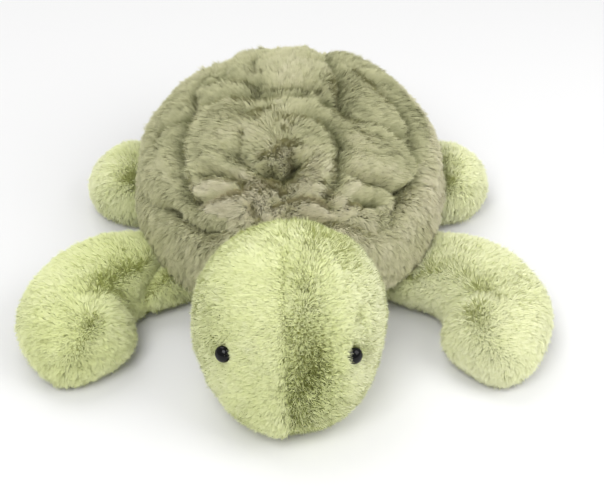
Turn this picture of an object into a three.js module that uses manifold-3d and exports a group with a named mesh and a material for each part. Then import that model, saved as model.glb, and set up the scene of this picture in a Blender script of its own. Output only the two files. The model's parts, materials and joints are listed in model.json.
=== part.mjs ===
// Plush turtle, lying on its belly with its flippers spread and its chin on the floor.
// Millimetres, +Z up, the face towards -Y, the toy's own left side towards +X.
// Every soft limb is a skin of sewn panels round its own stuffing, open where it is sewn to the body.

import * as THREE from 'three';
import { mergeVertices } from 'three/addons/utils/BufferGeometryUtils.js';
import Module from 'manifold-3d';

const wasm = await Module();
wasm.setup();

// Cloth and sewing
const skin = 2.5;
const seamGap = 0.3;
const fillGap = 0.95;
const floorCut = 0.5;
const overrun = 400;

// Shell, measured to the middle of its pile
const shellHalfWidth = 103;
const shellHalfLength = 130;
const shellHeight = 105;
const rimHeight = 38;
const rimLow = 24;
const rimTuck = 5;
const quiltThickness = 14;
const quiltDepth = 6.5;
const tuftDepth = 12;
const scuteStep = 26;

// Pellet pouch in the belly
const pouchHalfWidth = 52;
const pouchHalfLength = 66;
const pouchThickness = 13;

// Head
const headReach = 94;
const headHalfWidth = 55.5;
const headHeight = 103;
const chinSeam = 12;
const headLift = 15;
const headPivotHeight = 58;

// Eyes: domed, with a stem through the cloth and a locking washer on it
const eyeRadius = 5;
const eyeDomeHeight = 3.6;
const eyeSeatDepth = 0.8;
const stemRadius = 1.6;
const stemLength = 8;
const stemPlay = 0.3;
const washerRadius = 6.5;
const washerThickness = 1.6;
const washerSeat = 1.6;

// Front flippers
const frontReach = 95;
const frontSweep = 120;
const frontThickness = 42;
const frontSeam = 15;
const frontLift = 18;

// Rear flippers
const rearReach = 56;
const rearSweep = 94;
const rearThickness = 37;
const rearSeam = 14;
const rearLift = 18;

// Tail
const tailLength = 40;
const tailHalfWidth = 14;
const tailHeight = 21;
const tailLift = 20;

// Facets
const bodySides = 28;
const headSides = 16;
const limbSides = 12;
const tailSides = 8;
const pouchSides = 14;
const bodyFillSides = 14;
const headFillSides = 8;
const limbFillSides = 6;
const tailFillSides = 4;
const eyeSides = 12;
const eyeDomeSteps = 4;
const liftSteps = 2;

// Body profile. Belly and lower rim: radius as a share of the shell's half sizes, and height as a share
// of the rim's lower edge or of the rise from there to its widest line.
const bellyShares = [[0.75, 0], [0.845, 0.35], [0.888, 0.9]];
const rimLowerShares = [[0.905, 0], [0.97, 0.25], [1, 1]];

// Ovals on the dome, as shares of the shell's half width and half length
const rimUpperShares = [[0.965, 0.95]];
const seamShares = [0.88, 0.82];
const domeFullness = 2.2;
const domeShares = [[0.74, 0.69], [0.42, 0.4]];
const quiltEdgeShares = [0.9, 0.84];

// Pellet pouch rings: radius and height as shares of the pouch's sizes
const pouchShares = [[0.9, 0.1], [1, 0.45], [0.7, 0.9]];

// Corners of the quilted scutes inside the rim, as shares of the shell's half width and half length
const scuteCornerShares = {
  leftA: [-0.59, -0.57], leftB: [-0.64, -0.4], leftC: [-0.66, -0.2], leftD: [-0.63, 0.05],
  leftE: [-0.62, 0.42], leftMid: [-0.78, -0.03],
  rightA: [0.24, -0.64], rightB: [0.285, -0.42], rightC: [0.26, -0.2], rightD: [0.31, 0.02],
  rightE: [0.29, 0.4],
  frontA: [-0.3, -0.655], frontB: [-0.03, -0.69], tuft: [-0.06, -0.54],
  midA: [-0.4, 0.13], midB: [-0.15, 0.07], backA: [-0.2, 0.46],
  lowA: [0.4, -0.66], lowB: [0.51, -0.66],
  sideA: [0.41, -0.55], sideB: [0.55, -0.57], sideC: [0.66, -0.53],
  upA: [0.74, -0.17], upB: [0.47, -0.12], farA: [0.55, 0.36],
};

// Corners on the rim's seam, anticlockwise from the front left: directions in degrees from +X, in the
// circle that the oval is drawn from
const rimCornerDegrees = {
  leftFront: 235.5, rightFront: 282.8, rightRimA: 311.8, rightRimB: 327.6, rightRimC: 343.2,
  rightRimD: 24.3, rightRear: 75.9, leftRear: 117.8, leftRimC: 152.2, leftRimB: 185.7, leftRimA: 218.9,
};
const rimCorners = Object.keys(rimCornerDegrees);

// Each scute's corners in order, anticlockwise seen from above
const scutes = [
  ['leftFront', 'rightFront', 'rightA', 'frontB', 'frontA', 'leftA'],
  ['leftA', 'frontA', 'frontB', 'rightA', 'rightB', 'tuft'],
  ['leftA', 'tuft', 'rightB', 'rightC', 'rightD', 'midB', 'midA', 'leftD', 'leftC', 'leftB'],
  ['leftD', 'midA', 'midB', 'rightD', 'rightE', 'backA', 'leftE'],
  ['leftE', 'backA', 'rightE', 'rightRear', 'leftRear'],
  ['leftFront', 'leftA', 'leftRimA'],
  ['leftA', 'leftB', 'leftC', 'leftD', 'leftMid', 'leftRimB', 'leftRimA'],
  ['leftD', 'leftE', 'leftRimC', 'leftRimB', 'leftMid'],
  ['leftE', 'leftRear', 'leftRimC'],
  ['rightFront', 'rightRimA', 'lowB', 'lowA', 'rightA'],
  ['rightA', 'lowA', 'lowB', 'rightRimA', 'rightRimB', 'sideC', 'sideB', 'sideA', 'rightB'],
  ['rightB', 'sideA', 'sideB', 'sideC', 'rightRimB', 'rightRimC', 'upA', 'upB', 'rightC'],
  ['rightC', 'upB', 'upA', 'rightRimC', 'rightRimD', 'farA', 'rightE', 'rightD'],
  ['rightE', 'farA', 'rightRimD', 'rightRear'],
];

// Rings of a scute from its seams inwards: how far in, and how deep as a share of the quilting's depth
const pillowShares = [[0.28, 0.16], [0.6, 0]];

// Head stations: distance along the reach, half width, underside and top as shares of the head's sizes.
// An underside share of 0, here, in the flippers and in the tail, lies on the floor.
const headShares = [
  [-0.32, 0, 0.35, 0.35], [-0.28, 0.39, 0.175, 0.52], [-0.18, 0.68, 0.06, 0.72], [-0.02, 0.89, 0.01, 0.9],
  [0.15, 0.97, 0, 0.985], [0.4, 1, 0, 0.995], [0.62, 0.94, 0, 0.91], [0.78, 0.79, 0.03, 0.78],
  [0.91, 0.54, 0.09, 0.6], [0.98, 0.27, 0.184, 0.45], [1, 0, 0.31, 0.31],
];

// Eye places: how far to the side and along the head
const eyeAcrossShare = 0.665;
const eyeAlongShare = 0.8;

// Front flipper stations: trailing edge, leading edge as shares of reach and sweep, top and underside as
// shares of the thickness
const frontShares = [
  [-0.33, 0.23, -0.44, -0.18, 0.46, 0.1], [-0.07, 0.26, -0.23, -0.27, 0.5, 0.04],
  [0.17, 0.25, -0.06, -0.35, 0.62, 0], [0.41, 0.18, 0.09, -0.41, 0.82, 0],
  [0.64, 0.05, 0.18, -0.47, 0.96, 0],
  [0.88, -0.17, 0.21, -0.54, 1, 0], [1, -0.43, 0.18, -0.62, 1, 0], [0.97, -0.66, 0.185, -0.73, 0.96, 0],
  [0.88, -0.82, 0.27, -0.83, 0.83, 0.01], [0.76, -0.94, 0.43, -0.94, 0.6, 0.1],
  [0.62, -1, 0.62, -1, 0.36, 0.36],
];

// Rear flipper stations, laid out as the front ones
const rearShares = [
  [-0.49, 0.41, -0.49, -0.28, 0.5, 0.12], [-0.13, 0.52, -0.13, -0.37, 0.56, 0.06],
  [0.12, 0.57, 0.12, -0.405, 0.68, 0], [0.42, 0.56, 0.45, -0.39, 0.97, 0], [0.7, 0.44, 0.74, -0.3, 0.98, 0],
  [0.9, 0.25, 0.92, -0.14, 0.76, 0.05], [0.97, 0.14, 0.98, -0.03, 0.58, 0.16],
  [1, 0.05, 1, 0.05, 0.38, 0.38],
];

// Tail stations: distance along, half width, underside and top as shares of the tail's sizes
const tailShares = [
  [0, 0.9, 0.1, 0.95], [0.3, 1, 0, 1], [0.65, 0.73, 0, 0.85], [0.92, 0.3, 0.1, 0.55], [1, 0, 0.3, 0.3],
];

// Where each limb is sewn to the body: directions round the shell, in degrees from +X
const frontRootAngle = -32.6;
const rearRootAngle = 11.2;
const rootShare = 0.885;

// Finishes
const longPile = new THREE.MeshStandardMaterial({ color: 0xa3a17c, roughness: 0.95, metalness: 0 });
const shortPile = new THREE.MeshStandardMaterial({ color: 0xcbd791, roughness: 0.93, metalness: 0 });
const fill = new THREE.MeshStandardMaterial({ color: 0xf2f0ea, roughness: 1, metalness: 0 });
const pouchCloth = new THREE.MeshStandardMaterial({ color: 0xd9d4c4, roughness: 0.9, metalness: 0 });
const eyePlastic = new THREE.MeshStandardMaterial({ color: 0x101012, roughness: 0.12, metalness: 0 });
const washerPlastic = new THREE.MeshStandardMaterial({ color: 0xe8e8e4, roughness: 0.5, metalness: 0 });

const group = new THREE.Group();

// Solids

// Closes a stack of rings, whose first and last may be single points, into one surface.
function closedLoft(rings) {
  const positions = rings.flat().flatMap((point) => [point.x, point.y, point.z]);
  const starts = [];
  let total = 0;
  for (const ring of rings) {
    starts.push(total);
    total += ring.length;
  }
  const index = [];
  for (let k = 0; k + 1 < rings.length; k += 1) {
    const count = Math.max(rings[k].length, rings[k + 1].length);
    for (let i = 0; i < count; i += 1) {
      const next = (i + 1) % count;
      const a = starts[k] + (i % rings[k].length);
      const b = starts[k] + (next % rings[k].length);
      const c = starts[k + 1] + (i % rings[k + 1].length);
      const d = starts[k + 1] + (next % rings[k + 1].length);
      if (a !== b) index.push(a, b, d);
      if (c !== d) index.push(a, d, c);
    }
  }
  return indexedGeometry(positions, index);
}

function indexedGeometry(positions, index) {
  const geometry = new THREE.BufferGeometry();
  geometry.setAttribute('position', new THREE.Float32BufferAttribute(positions, 3));
  geometry.setIndex(index);
  return geometry;
}

// Moves a closed surface along its own normals: outwards by a positive distance, inwards by a negative one.
function offset(geometry, distance) {
  const moved = geometry.clone();
  moved.computeVertexNormals();
  const place = moved.attributes.position;
  const normal = moved.attributes.normal;
  for (let i = 0; i < place.count; i += 1) {
    place.setXYZ(
      i,
      place.getX(i) + distance * normal.getX(i),
      place.getY(i) + distance * normal.getY(i),
      place.getZ(i) + distance * normal.getZ(i),
    );
  }
  return moved;
}

// The same surface on the toy's other side.
function mirrored(geometry) {
  const copy = geometry.clone().scale(-1, 1, 1);
  const index = copy.index;
  for (let i = 0; i < index.count; i += 3) {
    const first = index.getX(i);
    index.setX(i, index.getX(i + 1));
    index.setX(i + 1, first);
  }
  return copy;
}

function solid(geometry) {
  const bare = geometry.clone();
  bare.deleteAttribute('normal');
  bare.deleteAttribute('uv');
  const merged = mergeVertices(bare);
  return new wasm.Manifold(new wasm.Mesh({
    numProp: 3,
    vertProperties: new Float32Array(merged.attributes.position.array),
    triVerts: new Uint32Array(merged.index.array),
  }));
}

function surface(manifold) {
  const mesh = manifold.getMesh();
  return indexedGeometry(Array.from(mesh.vertProperties), Array.from(mesh.triVerts));
}

// A block that fills everything between two corners.
function block(low, high) {
  const size = high.clone().sub(low);
  const middle = low.clone().add(high).multiplyScalar(0.5);
  return solid(new THREE.BoxGeometry(size.x, size.y, size.z).translate(middle.x, middle.y, middle.z));
}

function above(height) {
  return block(new THREE.Vector3(-overrun, -overrun, height), new THREE.Vector3(overrun, overrun, overrun));
}

function below(height) {
  return block(new THREE.Vector3(-overrun, -overrun, -overrun), new THREE.Vector3(overrun, overrun, height));
}

function addPart(name, manifold, material, side = 1) {
  const geometry = surface(manifold);
  const mesh = new THREE.Mesh(side > 0 ? geometry : mirrored(geometry), material);
  mesh.name = name;
  group.add(mesh);
}

// Body form

function ovalRing(sides, [widthShare, lengthShare], heightAt) {
  const ring = [];
  for (let i = 0; i < sides; i += 1) {
    const angle = (2 * Math.PI * i) / sides;
    const across = widthShare * Math.cos(angle);
    const along = lengthShare * Math.sin(angle);
    ring.push(new THREE.Vector3(
      shellHalfWidth * across,
      shellHalfLength * along,
      heightAt(across, along),
    ));
  }
  return ring;
}

function domeHeight(acrossShare, alongShare) {
  const radius = Math.min(1, Math.hypot(acrossShare, alongShare));
  return rimHeight + (shellHeight - rimHeight) * (1 - radius ** domeFullness) ** (1 / domeFullness);
}

// The whole body without its quilting: a flat belly, a rolled rim and a dome.
function bodyGeometry(sides) {
  const rimDrop = rimHeight - rimLow;
  const oval = (shares, heightAt) => ovalRing(sides, shares, heightAt);
  return closedLoft([
    [new THREE.Vector3(0, 0, 0)],
    ...bellyShares.map(([radius, height]) => oval([radius, radius], () => height * rimLow)),
    ...rimLowerShares.map(([radius, height]) => oval([radius, radius], () => rimLow + height * rimDrop)),
    ...rimUpperShares.map((shares) => oval(shares, domeHeight)),
    oval(seamShares, (across, along) => domeHeight(across, along) - rimTuck),
    ...domeShares.map((shares) => oval(shares, domeHeight)),
    [new THREE.Vector3(0, 0, shellHeight)],
  ]);
}

// The column that stands on the rim's inner seam.
function seamColumn(clearance) {
  return solid(closedLoft([
    [new THREE.Vector3(0, 0, rimHeight)],
    offsetRing(ovalRing(bodySides, seamShares, () => rimHeight), clearance),
    offsetRing(ovalRing(bodySides, seamShares, () => shellHeight + overrun), clearance),
    [new THREE.Vector3(0, 0, shellHeight + overrun)],
  ]));
}

function offsetRing(ring, distance) {
  return ring.map((point) => {
    const outward = new THREE.Vector3(point.x, point.y, 0).normalize();
    return point.clone().addScaledVector(outward, distance);
  });
}

// Quilted shell cover

// A point on the dome, sunk by a depth.
function domePoint([acrossShare, alongShare], depth) {
  return new THREE.Vector3(
    acrossShare * shellHalfWidth,
    alongShare * shellHalfLength,
    domeHeight(acrossShare, alongShare) - depth,
  );
}

function cornerDepth(name) {
  return name === 'tuft' ? tuftDepth : quiltDepth;
}

function rimPlace(degrees) {
  const angle = THREE.MathUtils.degToRad(degrees);
  return [quiltEdgeShares[0] * Math.cos(angle), quiltEdgeShares[1] * Math.sin(angle)];
}

function cornerPlace(name) {
  return rimCorners.includes(name) ? rimPlace(rimCornerDegrees[name]) : scuteCornerShares[name];
}

function followsRim(from, to) {
  return rimCorners.includes(from)
    && rimCorners[(rimCorners.indexOf(from) + 1) % rimCorners.length] === to;
}

// Points from one corner of a scute to the next, the second corner left out. Along the rim they follow
// the oval, anticlockwise.
function edgePoints(from, to) {
  const start = cornerPlace(from);
  const end = cornerPlace(to);
  const reach = new THREE.Vector2(
    (end[0] - start[0]) * shellHalfWidth,
    (end[1] - start[1]) * shellHalfLength,
  ).length();
  const count = Math.max(1, Math.round(reach / scuteStep));
  const turn = THREE.MathUtils.euclideanModulo(rimCornerDegrees[to] - rimCornerDegrees[from], 360);
  const points = [];
  for (let i = 0; i < count; i += 1) {
    const t = i / count;
    const place = followsRim(from, to)
      ? rimPlace(rimCornerDegrees[from] + t * turn)
      : [start[0] + t * (end[0] - start[0]), start[1] + t * (end[1] - start[1])];
    points.push({ place, depth: THREE.MathUtils.lerp(cornerDepth(from), cornerDepth(to), t) });
  }
  return points;
}

function scuteBoundary(corners) {
  return corners.flatMap((name, i) => edgePoints(name, corners[(i + 1) % corners.length]));
}

// One scute: its seams lie deep, and rings of points rise from them to the pillow's middle.
function scuteTriangles(corners) {
  const boundary = scuteBoundary(corners);
  const middle = [0, 1].map((axis) => (
    boundary.reduce((sum, point) => sum + point.place[axis], 0) / boundary.length
  ));
  const rings = [boundary.map(({ place, depth }) => domePoint(place, depth))];
  for (const [inwardShare, depthShare] of pillowShares) {
    rings.push(boundary.map(({ place }) => domePoint(
      place.map((value, axis) => value + inwardShare * (middle[axis] - value)),
      depthShare * quiltDepth,
    )));
  }
  rings.push([domePoint(middle, 0)]);
  return loftTriangles(rings);
}

// Corner points of the triangles between stacked rings, three by three.
function loftTriangles(rings) {
  const points = [];
  for (let k = 0; k + 1 < rings.length; k += 1) {
    const count = Math.max(rings[k].length, rings[k + 1].length);
    for (let i = 0; i < count; i += 1) {
      const next = (i + 1) % count;
      const a = rings[k][i % rings[k].length];
      const b = rings[k][next % rings[k].length];
      const c = rings[k + 1][i % rings[k + 1].length];
      const d = rings[k + 1][next % rings[k + 1].length];
      if (a !== b) points.push(a, b, d);
      if (c !== d) points.push(a, d, c);
    }
  }
  return points;
}

// The quilted dome with a straight skirt below its edge, as one closed solid.
function quiltSolid() {
  const edge = scuteBoundary(rimCorners).map(({ place, depth }) => domePoint(place, depth));
  const foot = edge.map((point) => new THREE.Vector3(point.x, point.y, rimHeight));
  const points = [
    ...loftTriangles([[new THREE.Vector3(0, 0, rimHeight)], foot, edge]),
    ...scutes.flatMap(scuteTriangles),
  ];
  const geometry = new THREE.BufferGeometry().setFromPoints(points);
  return solid(geometry);
}

function addShell() {
  const body = bodyGeometry(bodySides);
  const innerDome = solid(offset(bodyGeometry(bodyFillSides), -quiltThickness));
  const cover = quiltSolid().intersect(seamColumn(-seamGap / 2)).subtract(innerDome);
  addPart('shell_cover', cover, longPile);
  const skinForm = solid(body).subtract(solid(offset(body, -skin)));
  const rim = skinForm.intersect(above(rimLow)).subtract(seamColumn(seamGap / 2));
  addPart('shell_rim', rim, longPile);
  addPart('belly_panel', skinForm.intersect(below(rimLow - seamGap)), shortPile);
}

// Pellet pouch: a flat pillow that lies on the belly panel, grown by a clearance all round.
function pouchGeometry(clearance) {
  const base = skin + seamGap - clearance;
  const thickness = pouchThickness + 2 * clearance;
  const widthShare = (pouchHalfWidth + clearance) / shellHalfWidth;
  const lengthShare = (pouchHalfLength + clearance) / shellHalfLength;
  const rings = pouchShares.map(([radius, height]) => (
    ovalRing(pouchSides, [radius * widthShare, radius * lengthShare], () => base + height * thickness)
  ));
  return closedLoft([
    [new THREE.Vector3(0, 0, base)],
    ...rings,
    [new THREE.Vector3(0, 0, base + thickness)],
  ]);
}

// Stuffing has fewer facets than the skin round it, inside which it lies.
function addBodyFill() {
  const form = bodyGeometry(bodyFillSides);
  const underCover = solid(offset(form, -quiltThickness - fillGap));
  const column = seamColumn(seamGap);
  const stuffing = solid(offset(form, -skin - fillGap))
    .subtract(column.subtract(underCover))
    .subtract(solid(pouchGeometry(fillGap)));
  addPart('body_stuffing', stuffing, fill);
  addPart('pellet_pouch', solid(pouchGeometry(0)), pouchCloth);
}

// Hinges: a limb turns about the seam that holds it, and what the body would reach is cut from it.

function turned(geometry, pivot, axis, angle) {
  return geometry.clone()
    .translate(-pivot.x, -pivot.y, -pivot.z)
    .applyMatrix4(new THREE.Matrix4().makeRotationAxis(axis, angle))
    .translate(pivot.x, pivot.y, pivot.z);
}

// Everything that the body fills as a limb swings from rest to its upper limit, seen from the limb.
function bodySweep(sides, clearance, pivot, axis, lift) {
  const clear = offset(bodyGeometry(sides), clearance);
  let sweep = solid(clear);
  for (let step = 1; step <= liftSteps; step += 1) {
    const angle = -THREE.MathUtils.degToRad((lift * step) / liftSteps);
    sweep = sweep.add(solid(turned(clear, pivot, axis, angle)));
  }
  return sweep.add(below(0));
}

// What is cut from a limb's skin at its root.
function skinCutter(pivot, axis, lift) {
  return bodySweep(bodySides, seamGap, pivot, axis, lift);
}

// What is cut from a limb's stuffing there: a form with fewer facets, grown until it holds the body.
function fillCutter(pivot, axis, lift) {
  const slack = shellHalfLength * (1 - Math.cos(Math.PI / bodyFillSides));
  return bodySweep(bodyFillSides, seamGap + slack, pivot, axis, lift);
}

// Forms that lie on the floor reach a little below it and are cut flat there.
function undersideHeight(share, height) {
  return share === 0 ? -floorCut : share * height;
}

// Head

function uprightRing(sides, y, halfWidth, low, high) {
  const middle = (low + high) / 2;
  const ring = [];
  for (let i = 0; i < sides; i += 1) {
    const angle = (2 * Math.PI * i) / sides;
    ring.push(new THREE.Vector3(
      halfWidth * Math.cos(angle),
      y,
      middle + ((high - low) / 2) * Math.sin(angle),
    ));
  }
  return ring;
}

function headGeometry(sides) {
  return closedLoft(headShares.map(([alongShare, widthShare, lowShare, highShare]) => {
    const y = -shellHalfLength - alongShare * headReach;
    const low = undersideHeight(lowShare, headHeight);
    const high = highShare * headHeight;
    if (widthShare === 0) return [new THREE.Vector3(0, y, low)];
    return uprightRing(sides, y, widthShare * headHalfWidth, low, high);
  }));
}

// Where an eye is seated on the head's upper side, and the direction in which it looks.
function eyeSeatOn(head, side) {
  const origin = new THREE.Vector3(
    side * eyeAcrossShare * headHalfWidth,
    -shellHalfLength - eyeAlongShare * headReach,
    headHeight + overrun,
  );
  const hit = new THREE.Raycaster(origin, new THREE.Vector3(0, 0, -1))
    .intersectObject(new THREE.Mesh(head))[0];
  return { point: hit.point, outward: hit.face.normal.clone() };
}

function placed(geometry, seat) {
  const turn = new THREE.Quaternion().setFromUnitVectors(new THREE.Vector3(0, 0, 1), seat.outward);
  return geometry.applyQuaternion(turn).translate(seat.point.x, seat.point.y, seat.point.z);
}

// A closed revolve about +Z from radius and height pairs that start and end on the axis.
function revolve(profile) {
  const points = profile.map(([radius, height]) => new THREE.Vector2(radius, height));
  return new THREE.LatheGeometry(points, eyeSides).rotateX(Math.PI / 2);
}

function eyeGeometry() {
  const profile = [
    [0, -stemLength], [stemRadius, -stemLength], [stemRadius, eyeSeatDepth], [eyeRadius, eyeSeatDepth],
  ];
  for (let step = 1; step < eyeDomeSteps; step += 1) {
    const angle = (Math.PI / 2) * (step / eyeDomeSteps);
    profile.push([eyeRadius * Math.cos(angle), eyeSeatDepth + eyeDomeHeight * Math.sin(angle)]);
  }
  return revolve([...profile, [0, eyeSeatDepth + eyeDomeHeight]]);
}

function washerProfile(clearance) {
  const low = -skin - washerSeat - washerThickness;
  return [
    [0, low - clearance],
    [washerRadius + clearance, low - clearance],
    [washerRadius + clearance, low + washerThickness + clearance],
    [0, low + washerThickness + clearance],
  ];
}

function stemHole(clearance) {
  const radius = stemRadius + clearance;
  const end = -stemLength - clearance;
  return revolve([[0, end], [radius, end], [radius, overrun], [0, overrun]]);
}

function addHead() {
  const pivot = new THREE.Vector3(0, -shellHalfLength, headPivotHeight);
  const axis = new THREE.Vector3(-1, 0, 0);
  const head = headGeometry(headSides);
  let skinForm = solid(head)
    .subtract(skinCutter(pivot, axis, headLift))
    .subtract(solid(offset(head, -skin)));
  let stuffing = solid(offset(headGeometry(headFillSides), -skin - fillGap))
    .subtract(fillCutter(pivot, axis, headLift));
  for (const [side, name] of [[1, 'left'], [-1, 'right']]) {
    const seat = eyeSeatOn(head, side);
    const stem = solid(placed(stemHole(stemPlay), seat));
    skinForm = skinForm.subtract(stem);
    stuffing = stuffing.subtract(stem).subtract(solid(placed(revolve(washerProfile(seamGap)), seat)));
    addPart(`eye_${name}`, solid(placed(eyeGeometry(), seat)), eyePlastic);
    const washer = solid(placed(revolve(washerProfile(0)), seat)).subtract(stem);
    addPart(`eye_washer_${name}`, washer, washerPlastic);
  }
  const upper = skinForm.intersect(above(chinSeam));
  const floorFront = new THREE.Vector3(-overrun, -overrun, -overrun);
  const leftHalf = block(new THREE.Vector3(0, -overrun, -overrun), floorFront.clone().negate());
  const rightHalf = block(floorFront, new THREE.Vector3(-seamGap, overrun, overrun));
  addPart('head_panel_left', upper.intersect(leftHalf), shortPile);
  addPart('head_panel_right', upper.intersect(rightHalf), shortPile);
  addPart('chin_gusset', skinForm.intersect(below(chinSeam - seamGap)), shortPile);
  addPart('head_stuffing', stuffing, fill);
}

// Flippers

function rootPoint(angleDegrees, height) {
  const angle = THREE.MathUtils.degToRad(angleDegrees);
  return new THREE.Vector3(
    rootShare * shellHalfWidth * Math.cos(angle),
    rootShare * shellHalfLength * Math.sin(angle),
    height,
  );
}

// The direction of the body's outline at a root, along which the limb's hinge lies.
function rootAxis(angleDegrees) {
  const angle = THREE.MathUtils.degToRad(angleDegrees);
  return new THREE.Vector3(
    shellHalfWidth * Math.sin(angle),
    -shellHalfLength * Math.cos(angle),
    0,
  ).normalize();
}

// A flipper on the toy's left side, lofted between its trailing and leading edges.
function flipperGeometry({ root, reach, sweep, thickness, seam, shares }, sides) {
  const rings = shares.map(([backX, backY, frontX, frontY, topShare, lowShare]) => {
    const back = new THREE.Vector2(root.x + backX * reach, root.y + backY * sweep);
    const front = new THREE.Vector2(root.x + frontX * reach, root.y + frontY * sweep);
    const top = topShare * thickness;
    const low = undersideHeight(lowShare, thickness);
    if (back.distanceTo(front) < seamGap) return [new THREE.Vector3(back.x, back.y, seam)];
    const middle = back.clone().add(front).multiplyScalar(1 / 2);
    const ring = [];
    for (let i = 0; i < sides; i += 1) {
      const angle = (2 * Math.PI * i) / sides;
      const place = middle.clone().lerp(back, Math.cos(angle));
      const rise = Math.sin(angle);
      ring.push(new THREE.Vector3(
        place.x,
        place.y,
        seam + rise * (rise > 0 ? top - seam : seam - low),
      ));
    }
    return ring;
  });
  const rootMiddle = rings[0].reduce((sum, point) => sum.add(point), new THREE.Vector3());
  return closedLoft([[rootMiddle.multiplyScalar(1 / sides)], ...rings]);
}

function addFlipperPair(end, spec) {
  const form = flipperGeometry(spec, limbSides);
  const skinForm = solid(form)
    .subtract(skinCutter(spec.root, spec.axis, spec.lift))
    .subtract(solid(offset(form, -skin)));
  const top = skinForm.intersect(above(spec.seam));
  const underside = skinForm.intersect(below(spec.seam - seamGap));
  const stuffing = solid(offset(flipperGeometry(spec, limbFillSides), -skin - fillGap))
    .subtract(fillCutter(spec.root, spec.axis, spec.lift));
  for (const [side, name] of [[1, 'left'], [-1, 'right']]) {
    addPart(`${end}_${name}_flipper_top`, top, shortPile, side);
    addPart(`${end}_${name}_flipper_underside`, underside, shortPile, side);
    addPart(`${end}_${name}_flipper_stuffing`, stuffing, fill, side);
  }
}

function addFlippers() {
  addFlipperPair('front', {
    root: rootPoint(frontRootAngle, rimLow),
    axis: rootAxis(frontRootAngle),
    reach: frontReach,
    sweep: frontSweep,
    thickness: frontThickness,
    seam: frontSeam,
    lift: frontLift,
    shares: frontShares,
  });
  addFlipperPair('rear', {
    root: rootPoint(rearRootAngle, rimLow),
    axis: rootAxis(rearRootAngle),
    reach: rearReach,
    sweep: rearSweep,
    thickness: rearThickness,
    seam: rearSeam,
    lift: rearLift,
    shares: rearShares,
  });
}

// Tail

function tailGeometry(sides) {
  const start = shellHalfLength * rootShare - tailLength * (1 - rootShare);
  const rings = tailShares.map(([alongShare, widthShare, lowShare, highShare]) => {
    const y = start + alongShare * tailLength;
    const low = undersideHeight(lowShare, tailHeight);
    if (widthShare === 0) return [new THREE.Vector3(0, y, low)];
    return uprightRing(sides, y, widthShare * tailHalfWidth, low, highShare * tailHeight);
  });
  const root = new THREE.Vector3(0, rings[0][0].y, tailHeight / 2);
  return closedLoft([...rings.reverse(), [root]]);
}

function addTail() {
  const pivot = new THREE.Vector3(0, rootShare * shellHalfLength, rimLow);
  const axis = new THREE.Vector3(1, 0, 0);
  const form = tailGeometry(tailSides);
  const tailSkin = solid(form)
    .subtract(skinCutter(pivot, axis, tailLift))
    .subtract(solid(offset(form, -skin)));
  const stuffing = solid(offset(tailGeometry(tailFillSides), -skin - fillGap))
    .subtract(fillCutter(pivot, axis, tailLift));
  addPart('tail_skin', tailSkin, shortPile);
  addPart('tail_stuffing', stuffing, fill);
}

addShell();
addBodyFill();
addHead();
addFlippers();
addTail();

// The origin is the middle of the outline on the floor.
const box = new THREE.Box3().setFromObject(group);
group.position.set(-(box.min.x + box.max.x) / 2, -(box.min.y + box.max.y) / 2, -box.min.z);

export default group;
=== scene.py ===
"""The looks of a stuffed plush turtle: its sewn skins, the pile that grows on them, its eyes and a studio.

Shapes are worked out in millimetres from the middle of the shell on the floor, with +Z up and the face
towards -Y. They become metres of the row frame when a mesh is written. The sizes repeat those of the part's
source. Numbers that noises are called with are their size in mm and their seed.
"""

from __future__ import annotations

import itertools
import json
import logging
import math
import sys
from dataclasses import dataclass
from enum import Enum

import bpy
import numpy as np
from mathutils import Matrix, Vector
from mathutils.kdtree import KDTree

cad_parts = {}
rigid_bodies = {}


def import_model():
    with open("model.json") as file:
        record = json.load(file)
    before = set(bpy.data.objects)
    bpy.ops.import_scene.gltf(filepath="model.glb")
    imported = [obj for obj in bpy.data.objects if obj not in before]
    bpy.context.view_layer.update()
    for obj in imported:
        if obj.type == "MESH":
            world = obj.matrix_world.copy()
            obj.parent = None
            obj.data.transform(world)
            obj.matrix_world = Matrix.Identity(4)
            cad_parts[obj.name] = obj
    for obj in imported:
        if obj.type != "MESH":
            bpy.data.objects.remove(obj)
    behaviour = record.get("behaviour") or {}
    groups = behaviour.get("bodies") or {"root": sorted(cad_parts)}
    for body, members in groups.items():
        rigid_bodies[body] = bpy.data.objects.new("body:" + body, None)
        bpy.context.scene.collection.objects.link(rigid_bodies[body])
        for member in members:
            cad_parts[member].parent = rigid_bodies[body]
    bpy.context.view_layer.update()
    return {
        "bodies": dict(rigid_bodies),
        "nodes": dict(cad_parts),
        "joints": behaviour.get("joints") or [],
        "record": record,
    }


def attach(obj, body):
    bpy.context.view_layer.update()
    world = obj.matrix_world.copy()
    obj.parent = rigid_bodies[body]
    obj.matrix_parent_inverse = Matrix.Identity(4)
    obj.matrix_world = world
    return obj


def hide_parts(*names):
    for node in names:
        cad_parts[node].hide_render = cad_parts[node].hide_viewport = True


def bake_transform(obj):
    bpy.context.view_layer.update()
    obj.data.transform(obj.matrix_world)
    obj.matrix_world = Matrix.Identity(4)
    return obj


log = logging.getLogger("turtle")

MM = 0.001
ROW_SHIFT = np.array([0.0, 36.775, 0.0])  # from the shell's middle to the row frame's, mm
PILE_MAP = "OFBake"  # across: the fibre's shade; up: from its root to its tip
BRUSHED_UP = np.array([0.0, -0.8, 0.6])  # which way patches of pile stand that a hand has ruffled
FLOOR_GAP = 0.3  # how far cloth and pile stay above the floor, mm
FAR = 1e9  # beyond any distance on the toy, mm

# Short names for what the hints speak of
Array, Place = np.ndarray, tuple[float, float, float]
Material, Object, Scene = bpy.types.Material, bpy.types.Object, bpy.types.Scene
Tree, Socket = bpy.types.NodeTree, bpy.types.NodeSocket
Finishes, Stand = dict[str, Material], dict[str, Array]


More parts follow.
